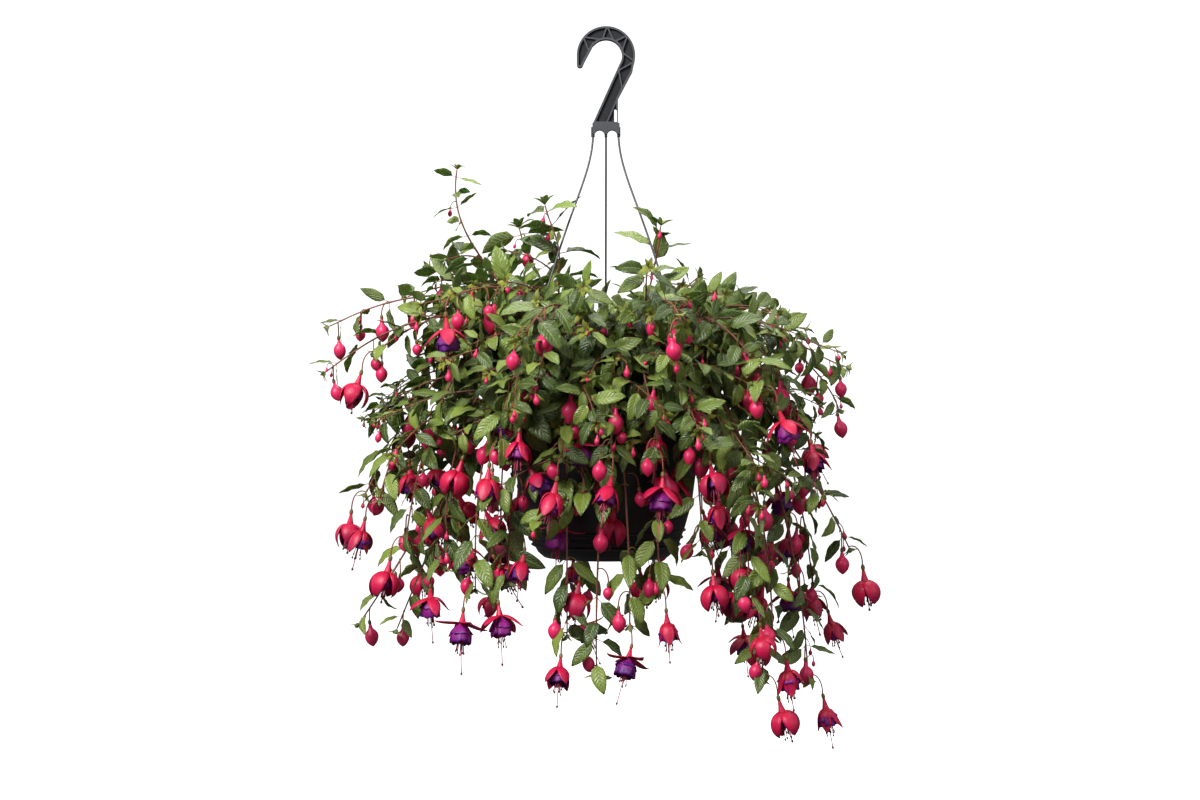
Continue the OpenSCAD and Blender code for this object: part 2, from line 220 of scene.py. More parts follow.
@dataclass(frozen=True)
class Plastic:
    """Moulded plastic with a fine grain, faint flow marks, a little dust and a paler painted highlight far
    out along Y.
    """

    name: str
    colour: tuple[float, float, float]
    roughness: float
    grain: float = 900.0
    dust: float = 0.12
    specular: float = 0.3
    # The band, out along Y, over which the painted highlight fades in; the default lies beyond any part.
    proud: tuple[float, float] = (1.0, 2.0)
    # The pale colour of the painted highlight, as if the flanges caught the light.
    flange_highlight: tuple[float, float, float] = (0.075, 0.078, 0.088)
    flow_scale: float = 26.0
    dust_scale: float = 120.0

    def make(self) -> bpy.types.Material:
        """Builds the material.

        Returns:
            The finished material.
        """
        g = Graph(self.name)
        flow = g.noise(self.flow_scale, 4.0)
        specks = g.noise(self.grain, 2.0)
        dust = (flow * g.noise(self.dust_scale, 5.0)).step(0.22, 0.5) * self.dust
        pale = tuple(0.09 + 0.8 * c for c in self.colour)
        # Painted highlight: faces far out along Y, such as the hook's outer flanges, turn paler as if lit,
        # while the recess between them stays dark. The rim clips lie so far out that they take it all over.
        high = abs(g.place("Y")).step(*self.proud) * (0.55 + 0.45 * flow)
        return g.finish({
            "Base Color": g.blend(high, g.blend(dust, self.colour, pale), self.flange_highlight),
            "Roughness": self.roughness + 0.12 * flow + 0.08 * specks,
            "Specular IOR Level": self.specular,
            "Normal": g.bump(specks + 0.6 * flow, 0.00012),
        })


@dataclass(frozen=True)
class Leaf:
    """One face of a leaf blade, with a midrib, arching side veins and patchy tones."""

    name: str
    deep: tuple[float, float, float]
    fresh: tuple[float, float, float]
    vein: tuple[float, float, float]
    roughness: float
    vein_depth: float
    side_veins: float = 8.0
    vein_slant: float = 2.1
    patch_scale: float = 160.0

    def make(self) -> bpy.types.Material:
        """Builds the material.

        Returns:
            The finished material.
        """
        g = Graph(self.name)
        along, across, tone = g.mark("X"), abs(g.mark("Y")), g.mark("Z")
        side = (along * self.side_veins - across * self.vein_slant).zigzag() * 2.0
        veins = side.step(0.74, 0.98) * (1.0 - across * 0.55)
        midrib = across.step(0.1, 0.02)
        ribs = (veins * 0.55 + midrib).step(0.05, 1.1)
        patches = g.noise(self.patch_scale, 4.0)
        mixed = g.blend((tone + (patches - 0.5) * 0.5).step(0.0, 1.0), self.deep, self.fresh)
        shaded = g.blend(across.step(0.75, 1.0) * 0.25, mixed, self.deep)
        return g.finish({
            "Base Color": g.blend(ribs * 0.55, shaded, self.vein),
            "Roughness": self.roughness + patches * 0.14 - ribs * 0.06,
            "Specular IOR Level": 0.6,
            "Normal": g.bump(ribs * -self.vein_depth + side * 0.6 + patches * 0.35, 0.001, 0.85),
            "Subsurface Weight": 0.12,
            "Subsurface Radius": (0.002, 0.004, 0.001),
            "Subsurface Scale": 0.5,
        })


@dataclass(frozen=True)
class Bark:
    """Stem skin that runs from one colour at its foot to another at its tip, with fine streaks."""

    name: str
    foot: tuple[float, float, float]
    tip: tuple[float, float, float]
    streak: tuple[float, float, float]
    roughness: float = 0.55
    streak_scale: float = 420.0
    grooves: float = 5.0

    def make(self) -> bpy.types.Material:
        """Builds the material.

        Returns:
            The finished material.
        """
        g = Graph(self.name)
        along, around, tone = g.mark("X"), g.mark("Y"), g.mark("Z")
        streaks = g.noise(self.streak_scale, 4.0, 0.7)
        skin = g.blend((along + (tone - 0.5) * 0.5).step(0.1, 0.95), self.foot, self.tip)
        lines = (around * self.grooves + streaks).zigzag()
        return g.finish({
            "Base Color": g.blend(streaks.step(0.45, 0.75) * 0.6, skin, self.streak),
            "Roughness": self.roughness + streaks * 0.15,
            "Normal": g.bump(lines + streaks, 0.0004),
        })


@dataclass(frozen=True)
class Petal:
    """Waxy petal skin that runs from one colour at its base to another at its edge, with fine veins."""

    name: str
    base: tuple[float, float, float]
    body: tuple[float, float, float]
    edge: tuple[float, float, float]
    roughness: float = 0.34
    veins: float = 11.0
    vein_tint: float = 0.3
    patch_scale: float = 240.0

    def make(self) -> bpy.types.Material:
        """Builds the material.

        Returns:
            The finished material.
        """
        g = Graph(self.name)
        along, across, tone = g.mark("X"), g.mark("Y"), g.mark("Z")
        patches = g.noise(self.patch_scale, 3.0)
        line = (across * self.veins + patches * 0.6).zigzag() * 2.0
        veins = line.step(0.7, 1.0) * (1.0 - along * 0.5)
        lower = g.blend(along.step(0.02, 0.4), self.base, self.body)
        whole = g.blend((along + (tone - 0.5) * 0.5).step(0.5, 1.05), lower, self.edge)
        return g.finish({
            "Base Color": g.blend(veins * self.vein_tint, whole, self.edge),
            "Roughness": self.roughness + patches * 0.16,
            "Normal": g.bump(veins * 0.7 + patches * 0.6, 0.0004, 0.8),
            "Subsurface Weight": 0.18,
            "Subsurface Radius": (0.004, 0.001, 0.002),
            "Subsurface Scale": 0.6,
            "Specular IOR Level": 0.5,
        })


@dataclass(frozen=True)
class Medium:
    """Moist peat and bark, dark with pale fibres."""

    name: str
    dark: tuple[float, float, float] = (0.016, 0.009, 0.006)
    brown: tuple[float, float, float] = (0.075, 0.04, 0.022)
    fibre: tuple[float, float, float] = (0.22, 0.14, 0.085)
    crumb_scale: float = 190.0
    fibre_scale: float = 520.0

    def make(self) -> bpy.types.Material:
        """Builds the material.

        Returns:
            The finished material.
        """
        g = Graph(self.name)
        crumbs, fibres = g.noise(self.crumb_scale, 6.0, 0.7), g.noise(self.fibre_scale, 3.0)
        tone = g.mark("Z")
        body = g.blend((crumbs + (tone - 0.5) * 0.6).step(0.38, 0.68), self.dark, self.brown)
        return g.finish({
            "Base Color": g.blend(fibres.step(0.62, 0.75) * 0.5, body, self.fibre),
            "Roughness": 0.8 + crumbs * 0.18,
            "Normal": g.bump(crumbs + fibres * 0.5, 0.0022),
        })


@dataclass(frozen=True)
class Paper:
    """A plain matt surface with the faintest mottle, which may glow a little."""

    name: str
    colour: tuple[float, float, float]
    glow: float = 0.0
    mottle_scale: float = 3.0

    def make(self) -> bpy.types.Material:
        """Builds the material.

        Returns:
            The finished material.
        """
        g = Graph(self.name)
        mottle = g.noise(self.mottle_scale)
        pale = tuple(c * 0.98 for c in self.colour)
        return g.finish({
            "Base Color": g.blend(mottle, self.colour, pale),
            "Roughness": 0.9,
            "Emission Color": (1.0, 1.0, 1.0, 1.0),
            "Emission Strength": self.glow,
        })


# The hook's flanges, 1.5 to 4.2 mm out along Y, get the painted highlight; the rim clips get it all over.
HOOK_PLASTIC = Plastic("hook_plastic", (0.008, 0.0085, 0.0105), 0.46, proud=(0.0015, 0.0042))
STRAND_PLASTIC = Plastic("strand_plastic", (0.02, 0.021, 0.024), 0.42, 1400.0, 0.2)
BASKET_PLASTIC = Plastic("basket_plastic", (0.0045, 0.0045, 0.005), 0.38, 700.0, 0.04)
LEAF_TOP = Leaf("leaf_top", (0.035, 0.065, 0.006), (0.19, 0.26, 0.035), (0.34, 0.4, 0.16), 0.33, 1.0)
LEAF_BACK = Leaf("leaf_back", (0.13, 0.18, 0.05), (0.22, 0.28, 0.09), (0.3, 0.36, 0.15), 0.6, -1.0)
SHOOT_TOP = Leaf("shoot_top", (0.17, 0.22, 0.015), (0.36, 0.37, 0.04), (0.42, 0.36, 0.08), 0.4, 0.6)
STEM_SKIN = Bark("stem_skin", (0.12, 0.05, 0.025), (0.2, 0.055, 0.03), (0.3, 0.17, 0.08))
STALK_SKIN = Bark("stalk_skin", (0.22, 0.12, 0.03), (0.3, 0.045, 0.03), (0.38, 0.2, 0.07), 0.45)
OVARY_SKIN = Bark("ovary_skin", (0.1, 0.11, 0.02), (0.24, 0.08, 0.03), (0.06, 0.08, 0.015), 0.4)
CROWN_BARK = Bark("crown_bark", (0.1, 0.06, 0.04), (0.16, 0.09, 0.06), (0.27, 0.2, 0.14), 0.8)
SEPAL = Petal("sepal", (0.5, 0.004, 0.024), (0.56, 0.002, 0.055), (0.36, 0.002, 0.05), 0.36, 7.0, 0.4)
SKIRT = Petal("skirt", (0.52, 0.003, 0.13), (0.26, 0.002, 0.19), (0.085, 0.001, 0.15), 0.42, 9.0, 0.35)
BUD = Petal("bud", (0.5, 0.005, 0.03), (0.62, 0.005, 0.09), (0.36, 0.003, 0.05), 0.34, 4.0, 0.25)
THREAD = Petal("thread", (0.5, 0.012, 0.06), (0.55, 0.05, 0.12), (0.45, 0.03, 0.09), 0.4)
ANTHER = Petal("anther", (0.08, 0.02, 0.02), (0.12, 0.04, 0.03), (0.05, 0.012, 0.016), 0.6)
PEAT = Medium("peat")
PERLITE = Paper("perlite", (0.55, 0.53, 0.49))
FLOOR_PAPER = Paper("floor_paper", (0.9, 0.9, 0.9), 0.9)
BACKDROP_PAPER = Paper("backdrop_paper", (0.9, 0.9, 0.9), 1.05)
DARK_CLOTH = Paper("dark_cloth", (0.05, 0.05, 0.05))

Finish = Plastic | Leaf | Bark | Petal | Medium | Paper


# ---------------------------------------------------------------- mesh parts

def unit(v: np.ndarray) -> np.ndarray:
    """This vector at a length of one."""
    return v / max(float(np.linalg.norm(v)), 1e-12)


def polar(azimuth: float, reach: float, height: float) -> np.ndarray:
    """The point at this azimuth, distance from the vertical axis and height."""
    turn = math.radians(azimuth)
    return np.array((reach * math.cos(turn), reach * math.sin(turn), height))


def spin(v: np.ndarray, axis: np.ndarray, degrees: float) -> np.ndarray:
    """Turns a vector about an axis of length one."""
    a = math.radians(degrees)
    return v * math.cos(a) + np.cross(axis, v) * math.sin(a) + axis * np.dot(axis, v) * (1 - math.cos(a))


def bezier(controls: np.ndarray, t: np.ndarray) -> np.ndarray:
    """Points of a cubic curve.

    Args:
        controls: Its four controls.
        t: Where the points are, each from 0 at the first control to 1 at the last.

    Returns:
        One row for each point.
    """
    t = np.atleast_1d(t)[:, None]
    a, b, c, d = controls
    return (1 - t) ** 3 * a + 3 * t * (1 - t) ** 2 * b + 3 * t * t * (1 - t) * c + t ** 3 * d


@dataclass
class Part:
    """A piece of mesh held as arrays: points, faces, each face's finish and each point's marks."""

    points: np.ndarray
    corners: np.ndarray
    sizes: np.ndarray
    marks: np.ndarray
    slots: np.ndarray

    @staticmethod
    def joined(parts: list["Part"]) -> "Part":
        """Joins parts into one.

        Args:
            parts: The parts, in their order.

        Returns:
            One part that holds them all.
        """
        starts = np.cumsum([0] + [len(p.points) for p in parts[:-1]])
        return Part(
            np.concatenate([p.points for p in parts]),
            np.concatenate([p.corners + s for p, s in zip(parts, starts)]),
            np.concatenate([p.sizes for p in parts]),
            np.concatenate([p.marks for p in parts]),
            np.concatenate([p.slots for p in parts]),
        )

    def placed(self, origin: np.ndarray, x: np.ndarray, z: np.ndarray, scale: float,
               tone: float | None = None) -> "Part":
        """A copy of this part at another place.

        Args:
            origin: Where the part's own origin goes.
            x: The direction that its own X takes.
            z: Roughly the direction that its own Z takes.
            scale: How many times its own size it is.
            tone: The tone of all its points, or None to keep them.

        Returns:
            The placed copy, which shares its faces with this part.
        """
        x = unit(x)
        y = unit(np.cross(z, x))
        moved = self.points @ np.array((x, y, np.cross(x, y))) * scale + origin
        marks = self.marks
        if tone is not None:
            marks = np.column_stack((marks[:, :2], np.full(len(moved), tone)))
        return Part(moved, self.corners, self.sizes, marks, self.slots)


def ringed(rings: list[np.ndarray], slot: int, tone: float, rising: bool = True) -> Part:
    """A closed part over rings of points, with a flat face at each end.

    Args:
        rings: Its rings, each with the same number of points.
        slot: Which of the piece's finishes it takes.
        tone: The tone of its points.
        rising: Whether the rings turn anticlockwise as seen from the last ring.

    Returns:
        The part, with marks that run from 0 at the first ring to 1 at the last, and round each ring.
    """
    n, sides = len(rings), len(rings[0])
    i, j = np.meshgrid(np.arange(n - 1), np.arange(sides), indexing="ij")
    a, b = i * sides + j, i * sides + (j + 1) % sides
    order = (a, b, b + sides, a + sides) if rising else (a, a + sides, b + sides, b)
    first, last = np.arange(sides)[::-1], np.arange(sides) + (n - 1) * sides
    ends = (first, last) if rising else (first[::-1], last[::-1])
    u = np.repeat(np.linspace(0, 1, n), sides)
    v = np.tile(np.linspace(0, 1, sides, endpoint=False), n)
    return Part(
        np.concatenate(rings),
        np.concatenate((np.stack(order, axis=-1).reshape(-1), *ends)),
        np.array([4] * ((n - 1) * sides) + [sides, sides]),
        np.column_stack((u, v, np.full(n * sides, tone))),
        np.full((n - 1) * sides + 2, slot),
    )


def tube(points: np.ndarray, radii: np.ndarray, sides: int, slot: int, tone: float = 0.5) -> Part:
    """A closed round tube through points.

    Args:
        points: The centres of its rings.
        radii: The radius of each ring.
        sides: How many points a ring has.
        slot: Which of the piece's finishes it takes.
        tone: The tone of its points.

    Returns:
        The tube.
    """
    along = np.gradient(points, axis=0)
    along /= np.linalg.norm(along, axis=1)[:, None] + 1e-12
    side = unit(np.cross(along[0], UP if abs(along[0][2]) < 0.9 else EAST))
    turns = np.linspace(0, 2 * math.pi, sides, endpoint=False)
    rings = []
    for k in range(len(points)):
        side = unit(side - along[k] * np.dot(side, along[k]))
        up = np.cross(along[k], side)
        rings.append(points[k] + radii[k] * (np.outer(np.cos(turns), side) + np.outer(np.sin(turns), up)))
    return ringed(rings, slot, tone)


def turned(profile: list[tuple[float, float]], sides: int, slot: int, groove: float = 0.0) -> Part:
    """A closed turned shape about its own Z, optionally with four grooves down its sides.

    Args:
        profile: The (radius, height) of each ring, from one end to the other.
        sides: How many points a ring has.
        slot: Which of the piece's finishes it takes.
        groove: The depth of the grooves, as a part of the radius.

    Returns:
        The shape.
    """
    turns = np.linspace(0, 2 * math.pi, sides, endpoint=False)
    cut = 1 - groove * np.abs(np.cos(2 * turns)) ** 8
    rings = [np.column_stack((r * cut * np.cos(turns), r * cut * np.sin(turns), np.full(sides, z)))
             for r, z in profile]
    return ringed(rings, slot, 0.5, profile[-1][1] > profile[0][1])


def sheet(grid: np.ndarray, thickness: float, front: int, back: int) -> Part:
    """A thin closed sheet over a grid of points, such as a leaf or a petal.

    Args:
        grid: The points, along the sheet and across it.
        thickness: How thick the sheet is.
        front: The finish of the face that the grid's own normals leave.
        back: The finish of the other face and the edge.

    Returns:
        The sheet, with marks from 0 to 1 along it and from -1 to 1 across it.
    """
    n, m, _ = grid.shape
    du, dv = np.gradient(grid, axis=0), np.gradient(grid, axis=1)
    normal = np.cross(du, dv)
    normal /= np.linalg.norm(normal, axis=2)[:, :, None] + 1e-12
    both = np.concatenate((grid.reshape(-1, 3), (grid - normal * thickness).reshape(-1, 3)))
    i, j = np.meshgrid(np.arange(n - 1), np.arange(m - 1), indexing="ij")
    a = (i * m + j).reshape(-1)
    top = np.stack((a, a + m, a + m + 1, a + 1), axis=-1)
    under = top[:, ::-1] + n * m
    rim = np.concatenate((np.arange(m), np.arange(1, n) * m + m - 1,
                          (n - 1) * m + np.arange(m - 2, -1, -1), np.arange(n - 2, 0, -1) * m))
    after = np.roll(rim, -1)
    edge = np.stack((rim, after, after + n * m, rim + n * m), axis=-1)
    quads = np.concatenate((top, under, edge))
    u, v = np.meshgrid(np.linspace(0, 1, n), np.linspace(-1, 1, m), indexing="ij")
    marks = np.column_stack((u.reshape(-1), v.reshape(-1), np.full(n * m, 0.5)))
    return Part(
        both,
        quads.reshape(-1),
        np.full(len(quads), 4),
        np.concatenate((marks, marks)),
        np.array([front] * len(top) + [back] * (len(under) + len(edge))),
    )


def make_piece(name: str, parts: list[Part], finishes: list[Finish], replaced: str) -> None:
    """Makes one object of parts, hangs it under the body's empty and hides the frame's node that it stands
    for.

    Args:
        name: The piece's name.
        parts: Its parts.
        finishes: Its finishes, in the order of the parts' slots.
        replaced: The frame's node that it stands for.
    """
    whole = Part.joined(parts)
    mesh = bpy.data.meshes.new(name)
    mesh.vertices.add(len(whole.points))
    mesh.vertices.foreach_set("co", whole.points.astype(np.float32).reshape(-1))
    mesh.loops.add(len(whole.corners))
    mesh.loops.foreach_set("vertex_index", whole.corners.astype(np.int32))
    mesh.polygons.add(len(whole.sizes))
    mesh.polygons.foreach_set("loop_start", (np.cumsum(whole.sizes) - whole.sizes).astype(np.int32))
    mesh.polygons.foreach_set("material_index", whole.slots.astype(np.int32))
    marks = mesh.attributes.new("mark", "FLOAT_VECTOR", "POINT")
    marks.data.foreach_set("vector", whole.marks.astype(np.float32).reshape(-1))
    for finish in finishes:
        mesh.materials.append(material_of(finish))
    mesh.update(calc_edges=True)
    mesh.shade_smooth()
    piece = bpy.data.objects.new(name, mesh)
    bpy.context.scene.collection.objects.link(piece)
    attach(piece, BODY)
    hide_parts(replaced)
    LOG.info("%s: %d faces, stands for %s", name, len(whole.sizes), replaced)


def material_of(finish: Finish) -> bpy.types.Material:
    """The material of a finish, made once."""
    return bpy.data.materials.get(finish.name) or finish.make()


# ---------------------------------------------------------------- the plant's design

@dataclass(frozen=True)
class Stem:
    """One stem's driving numbers, as the frame's own design has them."""

    azimuth: float
    reach: float
    tip: float
    rise: float
    hang: float
    shoulder: float
    swing: float
    flowers: int
    buds: int

    def controls(self, base: np.ndarray) -> np.ndarray:
        """The controls of the stem's curve.

        Args:
            base: Where the stem leaves its crown.

        Returns:
            Four points, from the base to the tip.
        """
        return np.array((
            base,
            base + polar(self.azimuth + self.swing, 0.2 * self.reach, self.rise),
            polar(self.azimuth, self.shoulder * self.reach, self.tip + self.hang),
            polar(self.azimuth, self.reach, self.tip),
        ))

    def side(self) -> np.ndarray:
        """The level direction across the stem."""
        return polar(self.azimuth + 90, 1.0, 0.0)

    def outward(self) -> np.ndarray:
        """The level direction that the stem reaches in."""
        return polar(self.azimuth, 1.0, 0.0)


BRANCHES: dict[str, list[Stem]] = {
    "crest_left": [Stem(-174, 0.185, -0.145, 0.15, -0.11, 1.06, 10, 0, 0)],
    "shoulder_left": [
        Stem(176, 0.25, -0.3, 0.23, 0.02, 0.8, -10, 0, 1),
        Stem(166, 0.228, -0.262, 0.2, -0.02, 0.75, 8, 0, 2),
    ],
    "arm_left_high": [
        Stem(-178, 0.343, -0.338, 0.245, 0.03, 0.8, 5, 0, 3),
        Stem(-172, 0.346, -0.395, 0.235, 0.05, 0.8, -5, 0, 2),
    ],
    "arm_left_low": [Stem(-168, 0.285, -0.372, 0.222, 0.045, 0.8, 6, 1, 2)],
    "bunch_left_outer": [
        Stem(180, 0.3, -0.545, 0.23, 0.125, 0.8, 8, 1, 3),
        Stem(-170, 0.28, -0.55, 0.24, 0.16, 0.88, -6, 2, 3),
    ],
    "bunch_left_middle": [Stem(-161, 0.255, -0.595, 0.23, 0.22, 0.92, 5, 3, 3)],
    "bunch_left_low": [
        Stem(-150, 0.222, -0.625, 0.22, 0.26, 0.97, 6, 4, 3),
        Stem(-139, 0.203, -0.65, 0.22, 0.28, 1, -5, 4, 3),
    ],
    "bunch_left_front": [Stem(-128, 0.186, -0.64, 0.21, 0.28, 1, 5, 4, 3)],
    "sprig_left": [
        Stem(-168, 0.305, -0.7, 0.24, 0.13, 0.68, 6, 0, 3),
        Stem(-164, 0.262, -0.706, 0.23, 0.16, 0.74, -4, 0, 3),
    ],
    "front_left_high": [
        Stem(-144, 0.215, -0.305, 0.19, 0.02, 0.7, 0, 1, 3),
        Stem(-127, 0.205, -0.48, 0.2, 0.14, 0.95, 4, 3, 3),
    ],
    "front_high": [
        Stem(-112, 0.25, -0.36, 0.2, 0.05, 0.8, 6, 0, 3),
        Stem(-70, 0.25, -0.345, 0.19, 0.045, 0.8, -6, 0, 4),
    ],
    "rim_left": [Stem(-106, 0.185, -0.495, 0.18, 0.13, 0.95, 5, 2, 3)],
    "rim_middle": [
        Stem(-88, 0.19, -0.49, 0.185, 0.12, 0.95, 0, 1, 4),
        Stem(-72, 0.19, -0.49, 0.185, 0.13, 0.95, -4, 2, 3),
    ],
    "rim_right": [Stem(-57, 0.2, -0.478, 0.19, 0.115, 0.95, 0, 1, 4)],
    "trail_middle_left": [
        Stem(-108, 0.152, -0.702, 0.19, 0.31, 1.1, 3, 3, 2),
        Stem(-94, 0.15, -0.745, 0.18, 0.33, 1.1, 3, 0, 4),
    ],
    "trail_middle_right": [
        Stem(-80, 0.152, -0.69, 0.195, 0.31, 1.1, 1, 3, 2),
        Stem(-66, 0.152, -0.65, 0.19, 0.28, 1.1, -3, 1, 4),
    ],
    "trail_right": [Stem(-51, 0.178, -0.605, 0.2, 0.24, 1, 0, 3, 4)],
    "bunch_right_inner": [Stem(-44, 0.228, -0.665, 0.23, 0.28, 0.97, 4, 3, 3)],
    "bunch_right_long": [
        Stem(-31, 0.218, -0.757, 0.24, 0.33, 1, 0, 4, 3),
        Stem(-36, 0.24, -0.705, 0.24, 0.29, 0.97, 5, 3, 4),
    ],
    "bunch_right_outer": [Stem(-13, 0.252, -0.765, 0.24, 0.33, 0.95, 4, 2, 4)],
    "bunch_right_side": [Stem(4, 0.262, -0.672, 0.24, 0.25, 0.92, 0, 2, 4)],
    "front_right_high": [
        Stem(-40, 0.24, -0.415, 0.22, 0.08, 0.9, 4, 2, 3),
        Stem(-24, 0.248, -0.455, 0.23, 0.11, 0.9, -4, 1, 4),
    ],
    "arm_right_low": [Stem(-4, 0.3, -0.612, 0.25, 0.125, 0.78, 0, 1, 2)],
    "arm_right_high": [
        Stem(0, 0.3, -0.388, 0.235, 0.025, 0.75, 4, 0, 2),
        Stem(8, 0.298, -0.44, 0.24, 0.08, 0.9, -4, 0, 3),
    ],
    "shoulder_right": [
        Stem(4, 0.222, -0.325, 0.2, 0.01, 0.75, -6, 0, 1),
        Stem(14, 0.172, -0.3, 0.18, 0, 0.7, 6, 0, 1),
    ],
    "top_left": [
        Stem(-158, 0.08, -0.19, 0.18, -0.06, 0.8, 0, 0, 0),
        Stem(160, 0.116, -0.212, 0.17, -0.06, 0.8, 8, 0, 1),
    ],
    "top_right": [
        Stem(-17, 0.07, -0.215, 0.17, -0.07, 0.8, 0, 0, 0),
        Stem(16, 0.122, -0.275, 0.17, -0.03, 0.75, 6, 0, 1),
    ],
    "rear_right": [
        Stem(28, 0.285, -0.455, 0.23, 0.09, 0.85, 6, 1, 3),
        Stem(38, 0.225, -0.33, 0.2, 0.02, 0.75, -6, 0, 2),
    ],
    "bunch_rear_right": [
        Stem(24, 0.268, -0.65, 0.23, 0.25, 0.95, 4, 3, 2),
        Stem(48, 0.262, -0.715, 0.23, 0.3, 0.97, -4, 3, 3),
    ],
    "rear_high": [
        Stem(66, 0.2, -0.3, 0.18, 0, 0.7, 6, 0, 2),
        Stem(112, 0.205, -0.31, 0.18, 0.01, 0.72, -6, 0, 2),
    ],
    "rear_arm": [
        Stem(84, 0.292, -0.44, 0.23, 0.09, 0.85, 5, 1, 3),
        Stem(132, 0.295, -0.43, 0.23, 0.08, 0.85, -5, 1, 3),
    ],
    "bunch_rear": [
        Stem(74, 0.255, -0.64, 0.22, 0.24, 0.97, 4, 3, 2),
        Stem(98, 0.245, -0.705, 0.22, 0.29, 1, -4, 3, 3),
    ],
    "bunch_rear_left": [
        Stem(124, 0.262, -0.665, 0.23, 0.26, 0.97, 5, 3, 3),
        Stem(150, 0.27, -0.625, 0.23, 0.23, 0.93, -5, 2, 3),
    ],
}


# ---------------------------------------------------------------- leaves and shoots

class Skin(Enum):
    """The finishes of a branch, in the order of its slots."""

    LEAF_TOP = 0
    LEAF_BACK = 1
    SHOOT_TOP = 2
    STEM = 3
    STALK = 4
    BUD = 5


BRANCH_FINISHES = [LEAF_TOP, LEAF_BACK, SHOOT_TOP, STEM_SKIN, STALK_SKIN, BUD]
NOWHERE = (2.0, 2.0)
SEEDLING = [(0.0009, 0.0), (0.0014, -0.0015), (0.0015, -0.0035), (0.0031, -0.006), (0.0041, -0.009),
            (0.0036, -0.012), (0.0018, -0.0142), (0.0004, -0.0152)]


@dataclass(frozen=True)
class Blade:
    """The cut and bend of one kind of leaf, as parts of its length."""

    width: float
    fold: float
    curl: float
    sway: float
    top: Skin = Skin.LEAF_TOP
    rows: int = 8
    columns: int = 5
    thickness: float = 0.008
    stalk: float = 0.2
    fullness: float = 1.374
    least: float = 0.01
    ripple: float = 0.12

    def build(self) -> Part:
        """Builds the leaf with its stalk, from its base at the origin along X with its top to Z.

        Returns:
            The leaf, one long.
        """
        u = np.linspace(0, 1, self.rows)
        v = np.linspace(-1, 1, self.columns)
        half = np.maximum(self.width * self.fullness * u ** 0.6 * (1 - u) ** 0.9, self.least)
        bend = self.curl * u
        along, drop = np.sin(bend) / self.curl, (np.cos(bend) - 1) / self.curl
        middle = np.stack((along, self.sway * u * u, drop), axis=-1)
        normal = np.stack((np.sin(bend), 0 * u, np.cos(bend)), axis=-1)
        lift = half[:, None] * (self.fold * np.abs(v) + self.ripple * np.sin(15 * u)[:, None] * v * v)
        grid = middle[:, None, :] + normal[:, None, :] * lift[:, :, None]
        grid[:, :, 1] += half[:, None] * v
        blade = sheet(grid, self.thickness, self.top.value, Skin.LEAF_BACK.value)
        foot = np.array(((-self.stalk, 0, 0.02), (-0.5 * self.stalk, 0, 0.012), (0.03, 0, -0.004)))
        return Part.joined([blade, tube(foot, np.array((0.014, 0.011, 0.01)), 4, Skin.STALK.value)])


LEAVES = [Blade(0.44, 0.18, 0.5, 0.04).build(), Blade(0.48, 0.3, 0.9, -0.05).build(),
          Blade(0.42, 0.1, 0.25, 0.02).build(), Blade(0.5, 0.24, 0.7, 0.07).build()]
YOUNG = [Blade(0.42, 0.4, 0.5, 0.03, Skin.SHOOT_TOP, 6, 3, 0.014, 0.15).build(),
         Blade(0.36, 0.3, 0.9, -0.04, Skin.SHOOT_TOP, 6, 3, 0.014, 0.15).build()]


